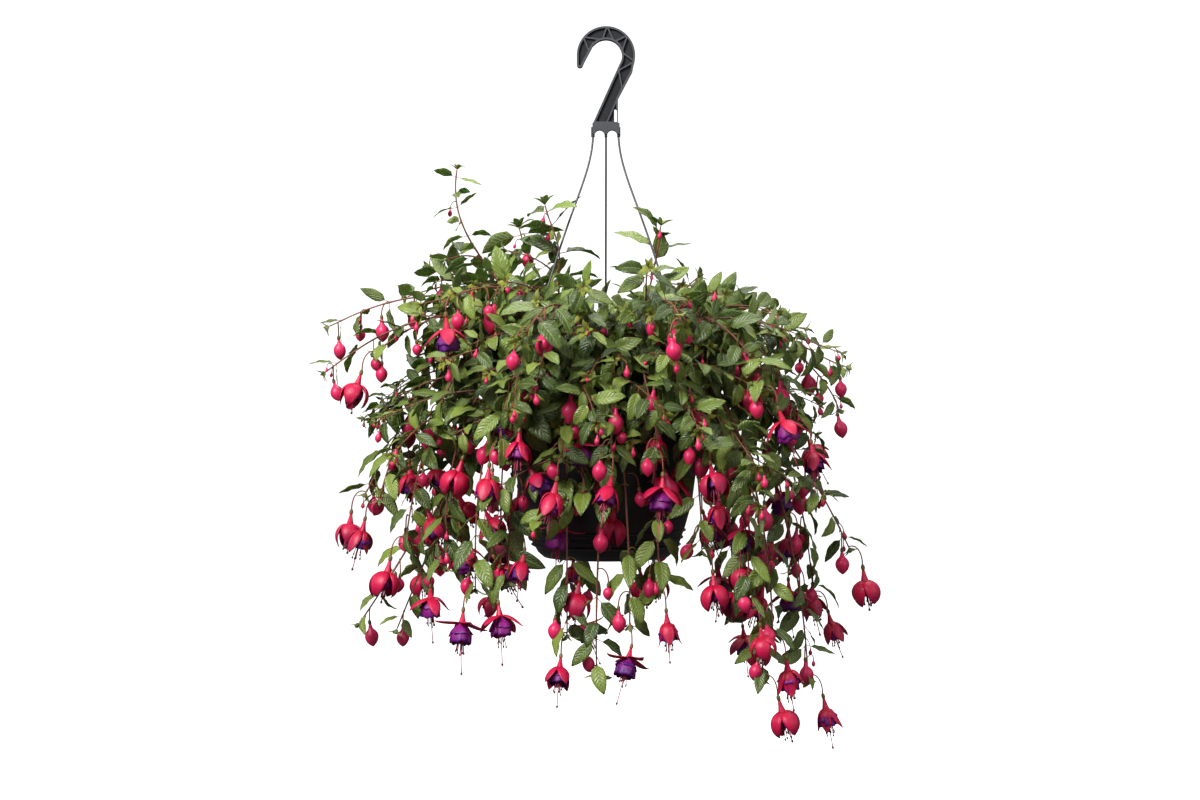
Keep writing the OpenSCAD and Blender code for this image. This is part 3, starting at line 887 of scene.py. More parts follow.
@dataclass
class Shoot:
    """One run of stem with its pairs of leaves and its growing tip."""

    path: np.ndarray
    girth: tuple[float, float]
    outward: np.ndarray
    spacing: float
    leaf: tuple[float, float]
    first: float = 0.0
    bare: tuple[float, float] = NOWHERE
    sides: int = 6
    knuckle: float = 0.0025
    young_size: float = 0.022
    turn_spread: float = 25.0
    tuft_leaves: int = 6
    spiral: float = 137.5
    seed_stalk_r: float = 0.0006

    def __post_init__(self) -> None:
        """Measures the run."""
        steps = np.linalg.norm(np.diff(self.path, axis=0), axis=1)
        self.along = np.concatenate(([0.0], np.cumsum(steps)))
        self.length = float(self.along[-1])

    def at(self, t: float) -> tuple[np.ndarray, np.ndarray]:
        """A place on the run.

        Args:
            t: How far along the run it is, as a part of the run's length.

        Returns:
            The point, and the direction that the run grows in there.
        """
        ends = [np.array([np.interp(s * self.length, self.along, self.path[:, k]) for k in range(3)])
                for s in (t, max(t - 0.03, 0.0), min(t + 0.03, 1.0))]
        return ends[0], unit(ends[2] - ends[1])

    def nodes(self) -> list[float]:
        """The places of the leaf pairs.

        Returns:
            Each place, as a part of the run's length.
        """
        count = max(int(self.length * (1 - self.first) / self.spacing), 1)
        places = [self.first + (1 - self.first) * (k + 0.5) / count for k in range(count)]
        return [t for t in places if not self.bare[0] < t < self.bare[1]]

    def stem(self, tone: float) -> Part:
        """The run's own stem, a little thicker where leaves leave it.

        Args:
            tone: The tone of its skin.

        Returns:
            The stem.
        """
        t = self.along / self.length
        swell = sum((np.exp(-((t - n) * self.length / self.knuckle) ** 2) for n in self.nodes()), 0 * t)
        radii = self.girth[0] + (self.girth[1] - self.girth[0]) * t ** 0.8
        radii *= 1 + 0.3 * np.minimum(swell, 1)
        return tube(self.path, radii, self.sides, Skin.STEM.value, tone)

    def leaf_at(self, t: float, across: np.ndarray, size: float, shape: Part,
                rng: np.random.Generator) -> Part:
        """One leaf.

        Args:
            t: Its place along the run.
            across: The direction that it leaves the stem in.
            size: Its length.
            shape: The leaf to copy.
            rng: The source of its small differences.

        Returns:
            The leaf where it grows.
        """
        point, growth = self.at(t)
        aim = across + growth * rng.uniform(0.25, 0.8) + UP * rng.uniform(-0.55, -0.1)
        aim += rng.normal(0, 0.16, 3)
        face = UP * 0.75 + self.outward * 0.6 + rng.normal(0, 0.28, 3)
        aim = unit(aim)
        return shape.placed(point + aim * size * 0.2, aim, face, size, rng.uniform(0, 1))

    def leaves(self, rng: np.random.Generator) -> list[Part]:
        """The pairs of leaves, each turned a quarter from the last, and what grows at the tip.

        Args:
            rng: The source of small differences.

        Returns:
            The leaves, the tuft and the smallest buds.
        """
        made = []
        for k, t in enumerate(self.nodes()):
            _, growth = self.at(t)
            level = unit(np.cross(growth, self.outward + 0.01 * UP))
            across = level if k % 2 else unit(np.cross(growth, level))
            size = self.leaf[0] + (self.leaf[1] - self.leaf[0]) * t
            shapes = LEAVES if size > self.young_size else YOUNG
            for way in (-1, 1):
                turn = spin(way * across, growth, rng.uniform(-self.turn_spread, self.turn_spread))
                shape = shapes[int(rng.integers(len(shapes)))]
                made.append(self.leaf_at(t, turn, size * rng.uniform(0.8, 1.12), shape, rng))
        return made + self.tuft(rng) + self.seedlings(rng)

    def seedlings(self, rng: np.random.Generator) -> list[Part]:
        """The smallest buds, which hang on short stalks round the tip.

        Args:
            rng: The source of small differences.

        Returns:
            The buds and their stalks.
        """
        made = []
        for _ in range(int(rng.integers(0, 3))):
            start, growth = self.at(rng.uniform(0.86, 1.0))
            away = unit(rng.normal(0, 1, 3) + growth + self.outward * 0.5)
            end = start + away * rng.uniform(0.008, 0.013) - UP * rng.uniform(0.003, 0.01)
            middle = start + away * 0.007 + UP * 0.003
            path = bezier(np.array((start, middle, end + UP * 0.004, end)), np.linspace(0, 1, 5))
            made.append(tube(path, np.full(5, self.seed_stalk_r), 4, Skin.STALK.value, rng.uniform(0, 1)))
            bud = turned(SEEDLING, 8, Skin.BUD.value)
            made.append(bud.placed(end, polar(rng.uniform(0, 360), 1, 0), UP - away * 0.3,
                                   rng.uniform(0.45, 1.0), rng.uniform(0, 1)))
        return made

    def tuft(self, rng: np.random.Generator) -> list[Part]:
        """The small bright leaves at the tip.

        Args:
            rng: The source of small differences.

        Returns:
            The leaves.
        """
        point, growth = self.at(1.0)
        level = unit(np.cross(growth, self.outward + 0.01 * UP))
        made = []
        for k in range(self.tuft_leaves):
            size = (0.4 + 0.1 * (k % 2)) * self.leaf[1] * (1.15 - 0.1 * k)
            turn = spin(level, growth, self.spiral * k)
            aim = unit(turn * (0.9 - 0.1 * k) + growth * 0.8 + rng.normal(0, 0.1, 3))
            shape = YOUNG[k % len(YOUNG)]
            made.append(shape.placed(point + aim * size * 0.12, aim, growth + UP * 0.3 - turn * 0.6, size,
                                     rng.uniform(0.2, 1)))
        return made


@dataclass(frozen=True)
class Habit:
    """How thickly a branch is clothed: its leaves' sizes at the foot and tip, and where it is bare."""

    spacing: float = 0.024
    leaf: tuple[float, float] = (0.062, 0.036)
    rising_leaf: tuple[float, float] = (0.052, 0.044)
    side_shoots: int = 5
    bare: tuple[float, float] = (0.6, 0.78)


FULL = Habit()
SPARSE = Habit(spacing=0.03, leaf=(0.056, 0.03), side_shoots=2)
BARE = Habit(bare=(0.46, 0.76))
HABITS = {
    "crest_left": Habit(rising_leaf=(0.046, 0.026)),
    "arm_left_high": SPARSE,
    "arm_left_low": SPARSE,
    "sprig_left": SPARSE,
    "arm_right_high": SPARSE,
    "arm_right_low": SPARSE,
    "trail_middle_right": BARE,
    "trail_right": BARE,
}


@dataclass
class Branch:
    """One branch: the stems that leave a crown together, with their side shoots and leaves."""

    name: str
    stems: list[Stem]
    base: np.ndarray
    seed: int
    habit: Habit
    girth: tuple[float, float] = (0.0022, 0.0009)
    first_leaf: float = 0.12
    sway: float = 0.004
    rings: int = 44
    bare_hang: float = 0.24
    rising_hang: float = -0.05
    rising_spacing: float = 0.75
    side_length: tuple[float, float] = (0.05, 0.11)
    side_girth: tuple[float, float] = (0.0013, 0.0006)
    side_leaf: tuple[float, float] = (0.043, 0.028)
    side_spacing: float = 0.017

    def __post_init__(self) -> None:
        """Starts the branch's own random draws."""
        self.rng = np.random.default_rng(self.seed)

    def main_run(self, stem: Stem) -> Shoot:
        """The run of one stem, which wanders a little about the frame's own curve.

        Args:
            stem: The stem to follow.

        Returns:
            The run, with its leaves' sizes and places settled.
        """
        habit = self.habit
        t = np.linspace(0, 1, self.rings)
        turns = self.rng.uniform(0, 2 * math.pi, 2)
        sway = self.sway * np.minimum(1, 4 * t * (1 - t) + 0.3 * t)
        path = bezier(stem.controls(self.base), t)
        path += (sway * np.sin(9 * t + turns[0]))[:, None] * stem.side()
        path += (sway * np.sin(7 * t + turns[1]))[:, None] * stem.outward()
        bare = habit.bare if stem.hang > self.bare_hang else NOWHERE
        rising = stem.hang < self.rising_hang
        leaf = habit.rising_leaf if rising else habit.leaf
        spacing = self.rising_spacing * habit.spacing if rising else habit.spacing
        return Shoot(path, self.girth, stem.outward(), spacing, leaf, self.first_leaf, bare)

    def side_run(self, run: Shoot, t: float, way: int) -> Shoot:
        """A side shoot of a run.

        Args:
            run: The run that it leaves.
            t: Where it leaves, as a part of the run's length.
            way: Which side it leaves from, -1 or 1.

        Returns:
            The side shoot.
        """
        point, growth = run.at(t)
        level = unit(np.cross(growth, run.outward + 0.01 * UP))
        lift = float(np.interp(t, (0.1, 0.14, 0.5, 0.9), (-0.1, 1.5, 0.3, 0.0)))
        aim = unit(way * level * self.rng.uniform(0.4, 1) + UP * lift + run.outward * 0.5 + growth * 0.4)
        length = self.rng.uniform(*self.side_length)
        s = np.linspace(0, 1, 9)[:, None]
        path = point + aim * length * s - UP * length * 0.35 * s * s + run.outward * length * 0.15 * s * s
        return Shoot(path, self.side_girth, run.outward, self.side_spacing, self.side_leaf, 0.15, sides=5)

    def build(self) -> None:
        """Makes the branch's piece."""
        parts = []
        count = self.habit.side_shoots
        for stem in self.stems:
            run = self.main_run(stem)
            places = [0.07, 0.1] + [0.16 + 0.64 * k / count for k in range(count)]
            leafy = [t for t in places if not run.bare[0] < t < run.bare[1]]
            runs = [run] + [self.side_run(run, t, 1 if k % 2 else -1) for k, t in enumerate(leafy)]
            for one in runs:
                parts.append(one.stem(self.rng.uniform(0, 1)))
                parts += one.leaves(self.rng)
        make_piece("branch_" + self.name, parts, BRANCH_FINISHES, self.name)


# ---------------------------------------------------------------- flowers and buds

@dataclass(frozen=True)
class Opening:
    """A flower's measures: its sepals' slopes and size, its skirt's size and its pistil's reach."""

    root: float
    middle: float
    tip: float
    half_width: float
    length: float
    skirt_r: float
    skirt_depth: float
    pistil_end: float
    spread: float = 13.0


class Stage(Enum):
    """How far a flower has opened."""

    BALLOON = Opening(-10.0, -84.0, -136.0, 0.012, 0.037, 0.0084, 0.018, 0.052, 4.0)
    PARTED = Opening(-22.0, -76.0, -68.0, 0.0095, 0.031, 0.0105, 0.0215, 0.066)
    OPEN = Opening(-6.0, -42.0, -50.0, 0.0092, 0.031, 0.0116, 0.0245, 0.075)
    SWEPT = Opening(-4.0, -8.0, 18.0, 0.0084, 0.029, 0.012, 0.0245, 0.077)


STAGE_MIX = [Stage.OPEN] * 6 + [Stage.BALLOON] * 6 + [Stage.PARTED] * 6 + [Stage.SWEPT] * 2
OVARY = [(0.0009, 0.0), (0.0019, -0.001), (0.0024, -0.003), (0.0022, -0.0052), (0.0016, -0.0066)]
NECK = [(0.0016, -0.0062), (0.0021, -0.0085), (0.0027, -0.012), (0.0036, -0.0155), (0.0044, -0.0185)]
BUD_OVARY = [(0.0008, 0.0), (0.0018, -0.001), (0.0022, -0.003), (0.002, -0.005), (0.0015, -0.0062)]
BUD_BODY = [(0.0, 0.45), (0.1, 0.7), (0.22, 0.9), (0.37, 1.0), (0.53, 0.97), (0.7, 0.8), (0.84, 0.54),
            (0.945, 0.22), (1.0, 0.04)]
ANTHER_KNOB = [(0.0002, 0.0012), (0.0007, 0.0006), (0.0008, -0.0003), (0.0003, -0.0013)]
STIGMA = [(0.0003, 0.0012), (0.0009, 0.0008), (0.0012, -0.0002), (0.001, -0.0012), (0.0003, -0.0018)]


@dataclass(frozen=True)
class Flower:
    """One hanging flower, with its ovary's top at the origin and its mouth towards -Z."""

    stage: Stage
    seed: int
    tube_end: float = 0.0195
    throat_r: float = 0.0034
    sepal_t: float = 0.0005
    sepal_arch: float = 0.0012
    sepal_twist: float = 0.0015
    skirt_root_r: float = 0.0032
    petal_t: float = 0.0003
    ruffle: float = 0.0012
    ruffle_flare: float = 0.0016
    threads: int = 8
    thread_r: float = 0.00048
    pistil_start: float = 0.016
    pistil_r: float = 0.00062
    pistil_bend: float = 0.004

    def cup(self) -> list[Part]:
        """The ovary, the red tube and the four sepals.

        Returns:
            The parts, with the ovary first.
        """
        rng = np.random.default_rng(self.seed)
        end = -self.tube_end
        neck = NECK + [(0.0045, end), (self.throat_r, end - 0.0005)]
        sepals = [self.sepal(90 * k + rng.uniform(-8, 8), rng) for k in range(4)]
        return [turned(OVARY, 10, 1), turned(neck, 16, 0, 0.08)] + sepals

    def sepal(self, turn: float, rng: np.random.Generator) -> Part:
        """One sepal, a pointed blade that leaves the tube's mouth and bends with the flower's stage.

        Args:
            turn: Where it stands round the flower, in degrees.
            rng: The source of its small differences.

        Returns:
            The sepal in its place.
        """
        u = np.linspace(0, 1, 11)
        v = np.linspace(-1, 1, 7)
        size = self.stage.value
        slopes = (size.root, size.middle, size.tip)
        a, b, c = (slope + rng.uniform(-size.spread, size.spread) for slope in slopes)
        slope = np.radians(a + (4 * b - 3 * a - c) * u + (2 * a - 4 * b + 2 * c) * u * u)
        step = size.length * rng.uniform(0.94, 1.03) / (len(u) - 1)
        r = self.throat_r + np.concatenate(([0.0], np.cumsum(np.cos(slope[:-1]) * step)))
        z = -self.tube_end + 0.0015 + np.concatenate(([0.0], np.cumsum(np.sin(slope[:-1]) * step)))
        r = np.maximum(r, 0.0006)
        half = size.half_width * np.maximum((1 - u) ** 0.9 * (0.55 + 2.3 * u), 0.03)
        angle = np.minimum(half / r, 0.84)[:, None] * v
        grid = np.stack((r[:, None] * np.cos(angle), r[:, None] * np.sin(angle), z[:, None] + 0 * v),
                        axis=-1)
        grid[:, :, 1] += self.sepal_twist * (u * u)[:, None] * rng.uniform(-1, 1)
        grid[:, :, 2] -= self.sepal_arch * np.abs(np.cos(slope))[:, None] * v * v
        return self.swung(sheet(grid, self.sepal_t, 0, 0), turn)

    def skirt(self) -> list[Part]:
        """The four overlapping petals of the skirt, and the shorter ruffles that stand out round its top.

        Returns:
            The petals, with the inner ones first.
        """
        rng = np.random.default_rng(self.seed + 1)
        inner = [self.petal(90 * k + 45, rng, 1.0, 0.0) for k in range(4)]
        if self.stage is Stage.BALLOON:
            return inner
        ruffles = [self.petal(120 * k, rng, rng.uniform(0.5, 0.75), self.ruffle_flare) for k in range(3)]
        return inner + ruffles

    def petal(self, turn: float, rng: np.random.Generator, size: float, flare: float) -> Part:
        """One petal, rolled round the flower's axis so that it overlaps the next, with a ruffled edge.

        Args:
            turn: Where it stands round the flower, in degrees.
            rng: The source of its small differences.
            size: Its length as a part of the skirt's depth.
            flare: How far its rim stands out of the skirt.

        Returns:
            The petal in its place.
        """
        u = np.linspace(0, 1, 9)[:, None]
        v = np.linspace(-1, 1, 9)[None, :]
        spread = np.radians((50 + 14 * u) * (0.4 + 0.6 * size))
        root, reach, drop = self.skirt_root_r, self.stage.value.skirt_r, self.stage.value.skirt_depth
        swell = root + (reach - root) * np.sin(0.5 * math.pi * np.minimum(u * 1.45 * size, 1)) ** 0.85
        ruffle = self.ruffle * u ** 3 * np.sin(7 * v + rng.uniform(0, 6))
        ruffle += 0.5 * self.ruffle * u * u * np.sin(15 * v)
        r = swell + 0.0007 * v * (0.3 + u) + ruffle + flare * u * u
        depth = drop * size * (1 - 0.12 * v * v + 0.04 * np.sin(9 * v + rng.uniform(0, 6)))
        z = -self.tube_end + 0.001 - depth * u ** 0.92
        angle = spread * v
        grid = np.stack((r * np.cos(angle), r * np.sin(angle), z + 0 * v), axis=-1)
        return self.swung(sheet(grid, self.petal_t, 0, 0), turn + rng.uniform(-7, 7))

    def centre(self) -> list[Part]:
        """The stamens with their anthers, and the long pistil with its stigma.

        Returns:
            The parts, with the pistil last.
        """
        rng = np.random.default_rng(self.seed + 2)
        size = self.stage.value
        parts = []
        for k in range(self.threads):
            turn = math.radians(360 * k / self.threads + rng.uniform(-14, 14))
            side = np.array((math.cos(turn), math.sin(turn), 0.0))
            end = -self.tube_end - size.skirt_depth - rng.uniform(0.003, 0.012)
            t = np.linspace(0, 1, 5)[:, None]
            path = side * (0.0014 + 0.0034 * t ** 1.4) - UP * (self.tube_end - 0.003)
            path = path + (end + self.tube_end - 0.003) * t * UP
            parts.append(tube(path, np.full(5, self.thread_r), 4, 0))
            parts.append(turned(ANTHER_KNOB, 6, 1).placed(path[-1], side, UP, 1.3))
        t = np.linspace(0, 1, 8)
        bend = rng.uniform(-self.pistil_bend, self.pistil_bend, 2)
        drop = self.pistil_start + (size.pistil_end - self.pistil_start) * t
        path = np.stack((bend[0] * t * t, bend[1] * t * t, -drop), axis=-1)
        parts.append(tube(path, np.full(8, self.pistil_r), 5, 0))
        parts.append(turned(STIGMA, 8, 1).placed(path[-1], EAST, UP, 1.2))
        return parts

    def swung(self, part: Part, turn: float) -> Part:
        """A part turned about the flower's axis."""
        return part.placed(np.zeros(3), polar(turn, 1.0, 0.0), UP, 1.0)


@dataclass(frozen=True)
class Bud:
    """One closed bud, with its ovary's top at the origin and its point towards -Z."""

    length: float
    radius: float
    neck: float
    ovary_depth: float = 0.0055
    seam: float = 0.07

    def build(self) -> Part:
        """Builds the bud's ovary, neck and seamed body.

        Returns:
            The bud.
        """
        stations = [(0.0, 0.2), (self.neck * 0.4, 0.27), (self.neck * 0.75, 0.33)]
        stations += [(self.neck + (1 - self.neck) * s, r) for s, r in BUD_BODY]
        profile = [(r * self.radius, -self.ovary_depth - s * self.length) for s, r in stations]
        return Part.joined([turned(BUD_OVARY, 10, 1), turned(profile, 16, 0, self.seam)])


def stalk(start: np.ndarray, end: np.ndarray) -> Part:
    """The thin stalk that a flower or bud hangs on.

    Args:
        start: Where it leaves the stem.
        end: The top of the ovary.

    Returns:
        The stalk, which arches out of its leaf's root and then hangs.
    """
    away = end - start
    reach = float(np.linalg.norm(away))
    level = away * np.array((1.0, 1.0, 0.0))
    controls = np.array((start, start + level * 0.6 + UP * 0.2 * reach, end + UP * 0.5 * reach, end))
    path = bezier(controls, np.linspace(0, 1, 10))
    return tube(path, np.linspace(0.0008, 0.0009, 10), 5, 2)


@dataclass
class Side:
    """The flowers and buds that hang on one side of the basket."""

    name: str
    start: float
    end: float
    lean: float = 40.0
    nod: float = 0.14
    flower_stalk: float = 0.028
    flower_span: float = 0.3
    flower_turns: tuple[float, ...] = (0.0, 130.0, -130.0, 65.0)
    bud_stalk: float = 0.02
    bud_start: float = 0.96
    bud_span: float = 0.36
    bud_turns: tuple[float, ...] = (-90.0, 90.0, 20.0, 180.0)
    bud_scales: tuple[float, ...] = (0.75, 0.5, 1.0, 0.6)
    bud_size: tuple[float, float] = (0.034, 0.0098)
    cups: list[Part] = field(default_factory=list)
    skirts: list[Part] = field(default_factory=list)
    threads: list[Part] = field(default_factory=list)
    buds: list[Part] = field(default_factory=list)

    def holds(self, azimuth: float) -> bool:
        """Whether a stem at this azimuth is on this side."""
        return any(self.start <= azimuth + turn < self.end for turn in (-360, 0))

    def leaning(self, length: float, azimuth: float) -> np.ndarray:
        """The end of a stalk of this length that leans out of its stem towards this azimuth."""
        lean = math.radians(self.lean)
        return polar(azimuth, length * math.sin(lean), -length * math.cos(lean))

    def add_stem(self, stem: Stem, base: np.ndarray, rng: np.random.Generator) -> None:
        """Hangs one stem's flowers and buds.

        Args:
            stem: The stem.
            base: Where it leaves its crown.
            rng: The source of small differences.
        """
        controls = stem.controls(base)
        for k in range(stem.flowers):
            t = 1 - self.flower_span * k / stem.flowers
            azimuth = stem.azimuth + self.flower_turns[k % len(self.flower_turns)]
            self.add_flower(bezier(controls, t)[0], azimuth, rng)
        for k in range(stem.buds):
            t = self.bud_start - self.bud_span * k / stem.buds
            size = self.bud_scales[k % len(self.bud_scales)] * rng.uniform(0.85, 1.12)
            azimuth = stem.azimuth + self.bud_turns[k % len(self.bud_turns)]
            self.add_bud(bezier(controls, t)[0], azimuth, size, rng)

    def hung(self, part: Part, top: np.ndarray, turn: float, scale: float, tone: float,
             tilt: np.ndarray) -> Part:
        """A copy of a part, hung by its ovary's top, turned about its own axis, with its Z along tilt."""
        face = polar(turn, 1.0, 0.0)
        return part.placed(top, unit(face - tilt * np.dot(tilt, face)), tilt, scale, tone)

    def add_flower(self, root: np.ndarray, azimuth: float, rng: np.random.Generator) -> None:
        """Hangs one flower.

        Args:
            root: Where its stalk leaves the stem.
            azimuth: The direction that its stalk leans in.
            rng: The source of small differences.
        """
        top = root + self.leaning(self.flower_stalk, azimuth)
        stage = STAGE_MIX[int(rng.integers(len(STAGE_MIX)))]
        flower = Flower(stage, int(rng.integers(1 << 20)))
        tilt = unit(UP - polar(azimuth, self.nod, 0.0) + rng.normal(0, 0.18, 3))
        turn, scale, tone = rng.uniform(0, 90), rng.uniform(0.92, 1.1), rng.uniform(0, 1)
        self.cups += [self.hung(p, top, turn, scale, tone, tilt) for p in flower.cup()]
        self.skirts += [self.hung(p, top, turn, scale, tone, tilt) for p in flower.skirt()]
        self.threads += [self.hung(p, top, turn, scale, tone, tilt) for p in flower.centre()]
        self.cups.append(stalk(root, top))

    def add_bud(self, root: np.ndarray, azimuth: float, size: float, rng: np.random.Generator) -> None:
        """Hangs one bud.

        Args:
            root: Where its stalk leaves the stem.
            azimuth: The direction that its stalk leans in.
            size: Its size as a part of the largest bud's.
            rng: The source of small differences.
        """
        top = root + self.leaning(self.bud_stalk, azimuth)
        neck = float(np.interp(size, (0.5, 0.9), (0.08, 0.27)))
        bud = Bud(self.bud_size[0] * size, self.bud_size[1] * size ** 0.6, neck).build()
        tilt = unit(UP + rng.normal(0, 0.15, 3))
        self.buds.append(self.hung(bud, top, rng.uniform(0, 90), 1.0, rng.uniform(0, 1), tilt))
        self.buds.append(stalk(root, top))

    def build(self) -> None:
        """Makes the side's pieces."""
        flowers, buds = "flowers_" + self.name, "buds_" + self.name
        make_piece("sepals_" + self.name, self.cups, [SEPAL, OVARY_SKIN, STALK_SKIN], flowers)
        make_piece("skirts_" + self.name, self.skirts, [SKIRT], flowers)
        make_piece("stamens_" + self.name, self.threads, [THREAD, ANTHER], flowers)
        make_piece("closed_" + buds, self.buds, [BUD, OVARY_SKIN, STALK_SKIN], buds)


CROWN_RINGS = [(0.0118, 0.0), (0.0113, 0.2), (0.0098, 0.4), (0.0085, 0.55), (0.0088, 0.7), (0.0092, 0.85),
               (0.0075, 0.95), (0.004, 1.0)]


@dataclass
class Plant:
    """The whole plant: three woody crowns, their branches, and the flowers and buds."""

    branches: dict[str, list[Stem]]
    crown_azimuths: dict[str, float] = field(
        default_factory=lambda: {"crown_front": -90.0, "crown_right": 30.0, "crown_left": 150.0})
    root_reach: float = 0.005
    root_drop: float = 0.003
    stubs: int = 5
    stub_l: float = 0.0125

    def base_of(self, stems: list[Stem]) -> np.ndarray:
        """The point where a branch's stems leave their crown.

        Args:
            stems: The branch's stems.

        Returns:
            The point, just inside the top of the nearest crown.
        """
        first = stems[0]
        gaps = {name: abs((first.azimuth - a + 540) % 360 - 180) for name, a in self.crown_azimuths.items()}
        lo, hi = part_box(min(gaps, key=gaps.get))
        centre = np.array(((lo[0] + hi[0]) / 2, (lo[1] + hi[1]) / 2, hi[2] - self.root_drop))
        return centre + polar(first.azimuth + first.swing, self.root_reach, 0.0)

    def crowns(self) -> None:
        """Builds the woody crowns, knobbly with the stubs of old stems."""
        for k, name in enumerate(self.crown_azimuths):
            rng = np.random.default_rng(50 + k)
            lo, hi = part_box(name)
            centre, tall = (lo + hi) / 2, hi[2] - lo[2]
            foot = np.array((centre[0], centre[1], lo[2]))
            knob = turned([(r, h * tall) for r, h in CROWN_RINGS], 28, 0)
            turn = np.arctan2(knob.points[:, 1], knob.points[:, 0])
            rough = 1 - 0.1 * np.sin(5 * turn + 200 * knob.points[:, 2]) ** 2 - 0.06 * rng.random(len(turn))
            knob.points[:, :2] *= rough[:, None]
            parts = [knob.placed(foot, EAST, UP, 1.0)]
            for stub in range(self.stubs):
                out = polar(360 / self.stubs * stub + rng.uniform(-15, 15), 1.0, rng.uniform(0.5, 1.2))
                start = foot + np.array((0, 0, tall * rng.uniform(0.35, 0.7)))
                path = start + np.outer(np.linspace(0, self.stub_l, 4), unit(out))
                parts.append(tube(path, np.array((0.003, 0.0027, 0.0025, 0.0024)), 8, 0, rng.uniform(0, 1)))
            make_piece("woody_" + name, parts, [CROWN_BARK], name)

    def build(self) -> None:
        """Builds the crowns, the branches and what hangs on them."""
        self.crowns()
        sides = [Side("left", -225, -135), Side("front", -135, -55), Side("right", -55, 20),
                 Side("rear", 20, 135)]
        for seed, (name, stems) in enumerate(self.branches.items()):
            base = self.base_of(stems)
            Branch(name, stems, base, seed, HABITS.get(name, FULL)).build()
            for k, stem in enumerate(stems):
                side = next(s for s in sides if s.holds(stem.azimuth))
                side.add_stem(stem, base, np.random.default_rng(1000 + 10 * seed + k))
        for side in sides:
            side.build()


# ---------------------------------------------------------------- hanger, basket and potting mix

@dataclass
class Hanger:
    """The hook, its three strands and the clips that hold the basket's rim."""

    strand_d: float = 0.0026
    roots: tuple[float, ...] = (-0.016, 0.0155, 0.0)
    names: tuple[str, ...] = ("left", "right", "rear")
    lug_azimuths: tuple[float, ...] = (210.0, 330.0, 90.0)
    lug_r: float = 0.1295
    root_z: float = -0.093
    neck_z: float = -0.165
    bow: tuple[float, float] = (0.55, -0.2)
    end_z: float = -0.471
    rings: int = 60
    sides: int = 14

    def strand(self, k: int) -> None:
        """Builds one strand as a smooth cord of moulded plastic, straight down and then out to its lug.

        Args:
            k: Its place in the lists of names, roots and lugs.
        """
        end = polar(self.lug_azimuths[k], self.lug_r, self.end_z)
        bowed = np.array((self.bow[0] * end[0], self.bow[0] * end[1], self.bow[1]))
        root = np.array((self.roots[k], 0, self.root_z))
        controls = np.array((root, (self.roots[k], 0, self.neck_z), bowed, end))
        path = bezier(controls, np.linspace(0, 1, self.rings))
        from_end = np.minimum(np.arange(self.rings), np.arange(self.rings)[::-1])
        flare = 1 + 0.25 * np.exp(-from_end / 1.5)
        part = tube(path, self.strand_d / 2 * flare, self.sides, 0)
        name = "strand_" + self.names[k]
        make_piece("moulded_" + name, [part], [STRAND_PLASTIC], name)

    def build(self) -> None:
        """Builds the strands and dresses the hook and clips."""
        dress("hook", HOOK_PLASTIC)
        for k, name in enumerate(self.names):
            self.strand(k)
            dress("rim_clip_" + name, HOOK_PLASTIC)


def dress(node: str, finish: Plastic) -> None:
    """Gives one of the frame's own nodes a finish, and reports it.

    Args:
        node: The node's name.
        finish: Its finish.
    """
    piece = bpy.data.objects[node]
    piece.data.materials.clear()
    piece.data.materials.append(material_of(finish))
    LOG.info("%s: the frame's own shape, dressed in %s", node, finish.name)


CRUMB = [(0.3, -0.8), (0.9, -0.4), (1.0, 0.2), (0.6, 0.8), (0.1, 0.95)]


